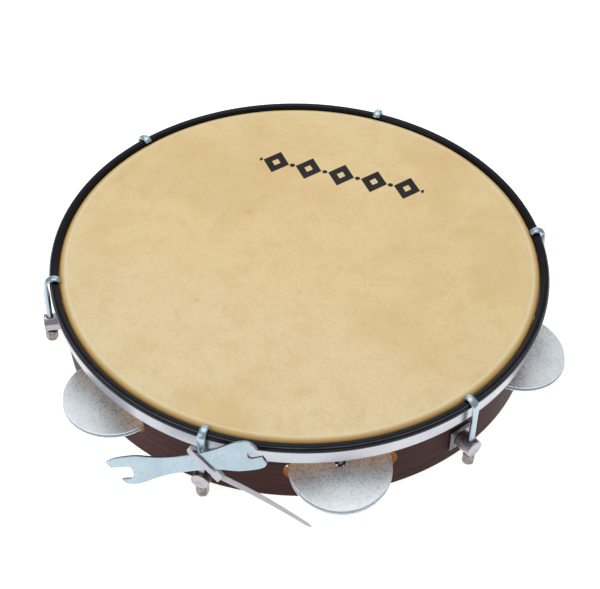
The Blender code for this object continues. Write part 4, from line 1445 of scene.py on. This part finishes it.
# --- tuning key -----------------------------------------------------------------
@dataclass
class TuningKey(Assembly):
    """A flat double-ended spanner for the tension nuts."""

    length: float = 78.9 * MM
    thickness: float = 2.0 * MM
    head_width: float = 15.0 * MM
    waist_width: float = 8.4 * MM
    large_slant: float = math.radians(32.0)
    small_slant: float = math.radians(24.0)
    slant_share: float = 0.17
    large_jaw: float = 6.2 * MM
    large_depth: float = 9.8 * MM
    large_offset: float = -0.6 * MM
    small_jaw: float = 3.6 * MM
    small_depth: float = 6.5 * MM
    small_offset: float = 0.4 * MM
    jaw_turn: float = math.radians(3.0)
    yaw: float = math.radians(10.6)
    rise: float = math.radians(23.0)
    lean: float = math.radians(25.0)
    crossing: float = 45.2 * MM
    standoff: float = 4.75 * MM
    below_edging: float = 12.95 * MM
    edge_round: float = 0.35 * MM
    jaw_corner: float = 0.36
    swell: tuple[tuple[float, float], ...] = (
        (0.00, 0.42), (0.015, 0.72), (0.05, 0.94), (0.10, 1.00), (0.17, 0.92),
        (0.28, 0.38), (0.38, 0.08), (0.50, 0.00))
    small_swell: tuple[tuple[float, float], ...] = (
        (0.00, 0.04), (0.008, 0.40), (0.025, 0.74), (0.055, 0.95), (0.10, 1.00),
        (0.17, 0.92), (0.28, 0.38), (0.38, 0.08))

    def frame(self) -> Matrix:
        """X along the key from its large end, Y across it, Z out of its outer face."""
        axis = off_axis(KEY_NUT)
        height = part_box("hoop_trim")[1][2] - self.below_edging
        stand = Matrix.Rotation(math.pi / 2, 4, "Z") @ Matrix.Rotation(math.pi / 2, 4, "X")
        turn = (Matrix.Rotation(self.yaw, 4, "Z") @ Matrix.Rotation(self.rise, 4, "X")
                @ Matrix.Rotation(-self.lean, 4, "Y"))
        crossing = about(bearing(KEY_NUT), axis + self.standoff, height)
        return crossing @ turn @ stand @ Matrix.Translation((-self.crossing, 0, 0))

    def build(self) -> None:
        """Shape a bar, open its jaws and hang it on its hook."""
        deselect()
        bpy.ops.mesh.primitive_plane_add(size=1.0, location=(self.length / 2, 0, 0))
        bpy.context.active_object.scale = (self.length, self.waist_width, 1.0)
        key = settle("tuning_key_fine")
        with editing(key):
            for x, _ in self._edge()[1:-1]:
                pick_all()
                bpy.ops.mesh.bisect(plane_co=(x, 0, 0), plane_no=(1, 0, 0))
            for x, half in self._edge():
                pick(Pick.POINTS, lambda p: abs(p.x - x) < HAIR)
                share = half / (self.waist_width / 2)
                bpy.ops.transform.resize(value=(1, share, 1), center_override=(x, 0, 0))
            self._slant()
            pick_all()
            push((0, 0, self.thickness))
            pick_all()
            bpy.ops.transform.translate(value=(0, 0, -self.thickness / 2))
            heal()
        cut(key, [self._jaw(self.large_jaw, 0.0, self.large_offset, self.large_depth,
                            -self.jaw_turn),
                  self._jaw(self.small_jaw, self.length, self.small_offset,
                            self.small_depth, math.pi + self.jaw_turn)])
        with editing(key):
            pick_all()
            bpy.ops.mesh.dissolve_limited(angle_limit=math.radians(0.5))
        soften(key, self.edge_round, segments=3, degrees=60)
        placed(key, self.frame())
        self.dress(key, Finish.ZINC, "bright_zinc", "key", "tuning_key", degrees=40)

    def _slant(self) -> None:
        """Let one prong of each head reach further than the other."""
        with shaping() as shape:
            for point in shape.verts:
                x = point.co.x
                from_end = min(x, self.length - x) / (self.length * self.slant_share)
                slant = self.large_slant if x < self.length / 2 else self.small_slant
                point.co.x -= point.co.y * math.tan(slant) * max(0.0, 1 - from_end)

    def _edge(self) -> list[tuple[float, float]]:
        """Stations along the key, with its half width at each, drawn as a curve."""
        waist, head = self.waist_width / 2, self.head_width / 2
        both = [(share * self.length, waist + (head - waist) * swell)
                for share, swell in self.swell]
        both += [((1 - share) * self.length, waist + (head - waist) * swell)
                 for share, swell in reversed(self.small_swell)]
        xs = [x for x, _ in both]
        ys = [y for _, y in both]
        fine: list[tuple[float, float]] = []
        for i in range(len(both) - 1):
            before, after = max(i - 1, 0), min(i + 2, len(both) - 1)
            slope_a = (ys[i + 1] - ys[before]) / (xs[i + 1] - xs[before])
            slope_b = (ys[after] - ys[i]) / (xs[after] - xs[i])
            run = xs[i + 1] - xs[i]
            for step in range(4):
                t = step / 4
                a, b = 2 * t ** 3 - 3 * t ** 2 + 1, t ** 3 - 2 * t ** 2 + t
                c, d = 3 * t ** 2 - 2 * t ** 3, t ** 3 - t ** 2
                fine.append((xs[i] + run * t, a * ys[i] + b * run * slope_a
                             + c * ys[i + 1] + d * run * slope_b))
        fine.append(both[-1])
        return fine

    def _jaw(self, width: float, mouth: float, offset: float, depth: float,
             turn: float) -> bpy.types.Object:
        """A cutter for an open jaw that ends in half a hexagon.

        Args:
            width: Distance between the jaw's flats.
            mouth: Where the mouth is along the key.
            offset: How far it is off the key's centre line.
            depth: From the mouth to the bottom.
            turn: Direction of the jaw about the key's face.

        Returns:
            The cutter.
        """
        long = 4 * width
        jaw = block("jaw", (long, width, 3 * self.thickness), (depth - long / 2, 0, 0))
        with editing(jaw):
            pick(Pick.EDGES, lambda p: p.x > depth - HAIR)
            keep_edges_along(Vector((0, 0, 1)), self.thickness)
            round_over(width * self.jaw_corner, segments=2)
        return placed(jaw, Matrix.Translation((mouth, offset, 0)) @ Matrix.Rotation(
            turn, 4, "Z"))


@dataclass
class TieStrap(Assembly):
    """The nylon strap that ties the key to its hook."""

    half_thickness: float = 0.42 * MM
    half_width: tuple[float, float] = (1.38 * MM, 0.92 * MM)
    pointed: float = 0.93
    sag: float = 1.6 * MM
    facing: tuple[float, float, float] = (-0.38, -0.60, 0.70)
    tip_place: tuple[float, float, float] = (0.2 * MM, 57.9 * MM, 2.6 * MM)
    head_reach: float = 2.1 * MM
    slant: float = math.radians(34.0)
    offset: float = 2.9 * MM
    loop_reach: float = 14.0 * MM
    point_narrowing: float = 0.75
    head_round: float = 0.16 * MM
    tail_round: float = 0.12 * MM
    stations: int = 24

    def build(self) -> None:
        """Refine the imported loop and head, and give them a flat tail."""
        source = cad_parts["cable_tie"]
        strap = copied(source, "cable_tie_fine", Matrix.Identity(4))
        strap.parent = None
        strap.matrix_world = Matrix.Identity(4)
        strap.data.materials.clear()
        start, tip = self._ends(strap)
        away = (tip - start).normalized()
        with editing(strap):
            heal()
            pick(Pick.POINTS, lambda p: (p - start).dot(away) > 2 * self.head_reach)
            bpy.ops.mesh.delete(type="VERT")
            bpy.ops.mesh.select_mode(type="EDGE")
            bpy.ops.mesh.select_all(action="DESELECT")
            bpy.ops.mesh.select_non_manifold()
            bpy.ops.mesh.edge_face_add()
            heal()
            bpy.ops.mesh.dissolve_limited(angle_limit=math.radians(1))
        soften(strap, self.head_round, segments=3, degrees=35)
        cut(strap, [self._tail(start, tip)], "UNION")
        self.dress(strap, Finish.NYLON, "natural_nylon", "key", "cable_tie", degrees=40)

    def _ends(self, strap: bpy.types.Object) -> tuple[Vector, Vector]:
        """The middle of the head, and the tip of the tail that leaves it."""
        tip = about(bearing(KEY_NUT), off_axis(KEY_NUT)) @ Vector(self.tip_place)
        key = TuningKey()
        across = Vector((math.sin(self.slant), -math.cos(self.slant), 0.0))
        middle = Vector((key.crossing + self.offset, 0.0, 0.0))
        near = key.frame() @ middle
        reach = (key.frame().to_3x3() @ across).normalized()
        furthest = max((v.co - near).dot(reach) for v in strap.data.vertices
                       if (v.co - near).length < self.loop_reach)
        return near + reach * (furthest - self.head_reach), tip

    def _tail(self, start: Vector, tip: Vector) -> bpy.types.Object:
        """A tapering flat strap from the head to its pointed tip.

        Args:
            start: Middle of the head.
            tip: The tail's far end.

        Returns:
            The strap.
        """
        run = tip - start
        wide = run.cross(Vector(self.facing)).normalized()
        face = wide.cross(run).normalized()
        widths = [self._half_width(step / self.stations) for step in range(self.stations + 1)]
        deselect()
        bpy.ops.mesh.primitive_plane_add(size=2.0)
        bpy.context.active_object.scale = (widths[0], self.half_thickness, 1.0)
        tail = settle("tail")
        with editing(tail):
            pick_all()
            for step, (before, width) in enumerate(zip(widths, widths[1:]), 1):
                push((0.0, 0.0, run.length / self.stations))
                bpy.ops.transform.resize(
                    value=(width / before, 1, 1),
                    center_override=(0, 0, run.length * step / self.stations))
            heal()
        along = Matrix((wide, face, run.normalized())).transposed().to_4x4()
        placed(tail, Matrix.Translation(start) @ along)
        for point in tail.data.vertices:
            share = (point.co - start).dot(run) / run.length_squared
            point.co.z += self.sag * math.sin(math.pi * share)
        soften(tail, self.tail_round, segments=2, degrees=40)
        return tail

    def _half_width(self, share: float) -> float:
        """Half the tail's width at a share of its length, drawn in towards its tip."""
        first, last = self.half_width
        past_point = max(0.0, (share - self.pointed) / (1 - self.pointed))
        return (first + (last - first) * share) * (1 - self.point_narrowing * past_point ** 2)


# --- studio ---------------------------------------------------------------------
@dataclass(frozen=True)
class Softbox:
    """One rectangular studio light."""

    name: str
    place: tuple[float, float, float]
    size: tuple[float, float]
    watts: float
    aim: tuple[float, float, float] = (0.0, 0.0, 0.02)

    def build(self) -> None:
        """Hang the light and point it."""
        light = bpy.data.lights.new(self.name, "AREA")
        light.shape = "RECTANGLE"
        light.size, light.size_y = self.size
        light.energy = self.watts
        hung = bpy.data.objects.new(self.name, light)
        hung.location = self.place
        run = Vector(self.aim) - Vector(self.place)
        hung.rotation_euler = run.to_track_quat("-Z", "Y").to_euler()
        bpy.context.scene.collection.objects.link(hung)


@dataclass
class Studio:
    """White table, soft light from all round, and the camera."""

    camera_place: tuple[float, float, float] = (-0.3248, -0.5089, 0.6172)
    azimuth: float = math.radians(-32.6)
    elevation: float = math.radians(44.89)
    roll: float = math.radians(1.59)
    lens: float = 93.08
    sensor: float = 36.0
    nearest: float = 0.01
    table_side: float = 6.0
    table_pale: Colour = (0.93, 0.93, 0.93)
    table_grey: Colour = (0.90, 0.90, 0.90)
    table_glow: float = 0.8
    haze: tuple[float, float] = (0.10, 0.55)
    low_sky: float = 0.32
    high_sky: float = 0.48

    def build(self) -> None:
        """Set the table, the lights and the camera."""
        self._table()
        self._sky()
        for box in (
                Softbox("overhead", place=(0.15, 0.25, 1.3), size=(1.1, 1.1), watts=5.6),
                Softbox("left", place=(-1.2, -0.1, 0.7), size=(0.7, 0.9), watts=2.5),
                Softbox("back", place=(0.7, 1.1, 0.6), size=(0.9, 0.6), watts=2.0)):
            box.build()
        self._camera()

    def _table(self) -> None:
        """A wide pale table under the drum."""
        deselect()
        bpy.ops.mesh.primitive_plane_add(size=self.table_side)
        table = settle("table")
        recipe = Recipe(bpy.data.materials.new("white_table"))
        cloud = recipe.noise(size=0.4, detail=2, rough=0.5)
        table.data.materials.append(recipe.surface(
            Base_Color=recipe.blend(cloud, self.table_pale, self.table_grey), Roughness=0.8,
            Emission_Color=(1.0, 1.0, 1.0), Emission_Strength=self.table_glow))

    def _sky(self) -> None:
        """White light from above that fades to a grey band along the horizon."""
        world = bpy.data.worlds.new("studio")
        bpy.context.scene.world = world
        recipe = Recipe(world)
        direction = recipe.node("ShaderNodeTexCoord", output="Generated")
        _, _, upward = recipe.parts(direction)
        background = recipe.tree.nodes["Background"]
        recipe.fill(background.inputs["Color"], (1.0, 1.0, 1.0))
        recipe.fill(background.inputs["Strength"],
                    upward.ramp(*self.haze, self.low_sky, self.high_sky))
        bpy.context.scene.view_settings.view_transform = "Standard"

    def _camera(self) -> None:
        """The camera, with its own small roll."""
        back = Vector((math.sin(self.azimuth) * math.cos(self.elevation),
                       -math.cos(self.azimuth) * math.cos(self.elevation),
                       math.sin(self.elevation)))
        right = Vector((math.cos(self.azimuth), math.sin(self.azimuth), 0.0))
        up = back.cross(right)
        turned = right * math.cos(self.roll) + up * math.sin(self.roll)
        data = bpy.data.cameras.new("camera")
        data.sensor_fit = "HORIZONTAL"
        data.sensor_width = self.sensor
        data.lens = self.lens
        data.clip_start = self.nearest
        camera = bpy.data.objects.new("camera", data)
        turn = Matrix((turned, back.cross(turned), back)).transposed().to_4x4()
        camera.matrix_world = Matrix.Translation(self.camera_place) @ turn
        bpy.context.scene.collection.objects.link(camera)
        bpy.context.scene.camera = camera


def main() -> None:
    """Build the drum and its studio, in order."""
    logging.basicConfig(level=logging.INFO, format="%(name)s: %(message)s")
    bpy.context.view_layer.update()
    Studio().build()
    for assembly in (Rim(), Skin(), TensionHoop(), TensionGear(), JingleStack(),
                     TuningKey(), TieStrap()):
        assembly.build()
        LOG.info("%s done: %d pieces", type(assembly).__name__, len(assembly.pieces))
    deselect()


if __name__ == "__main__":
    main()
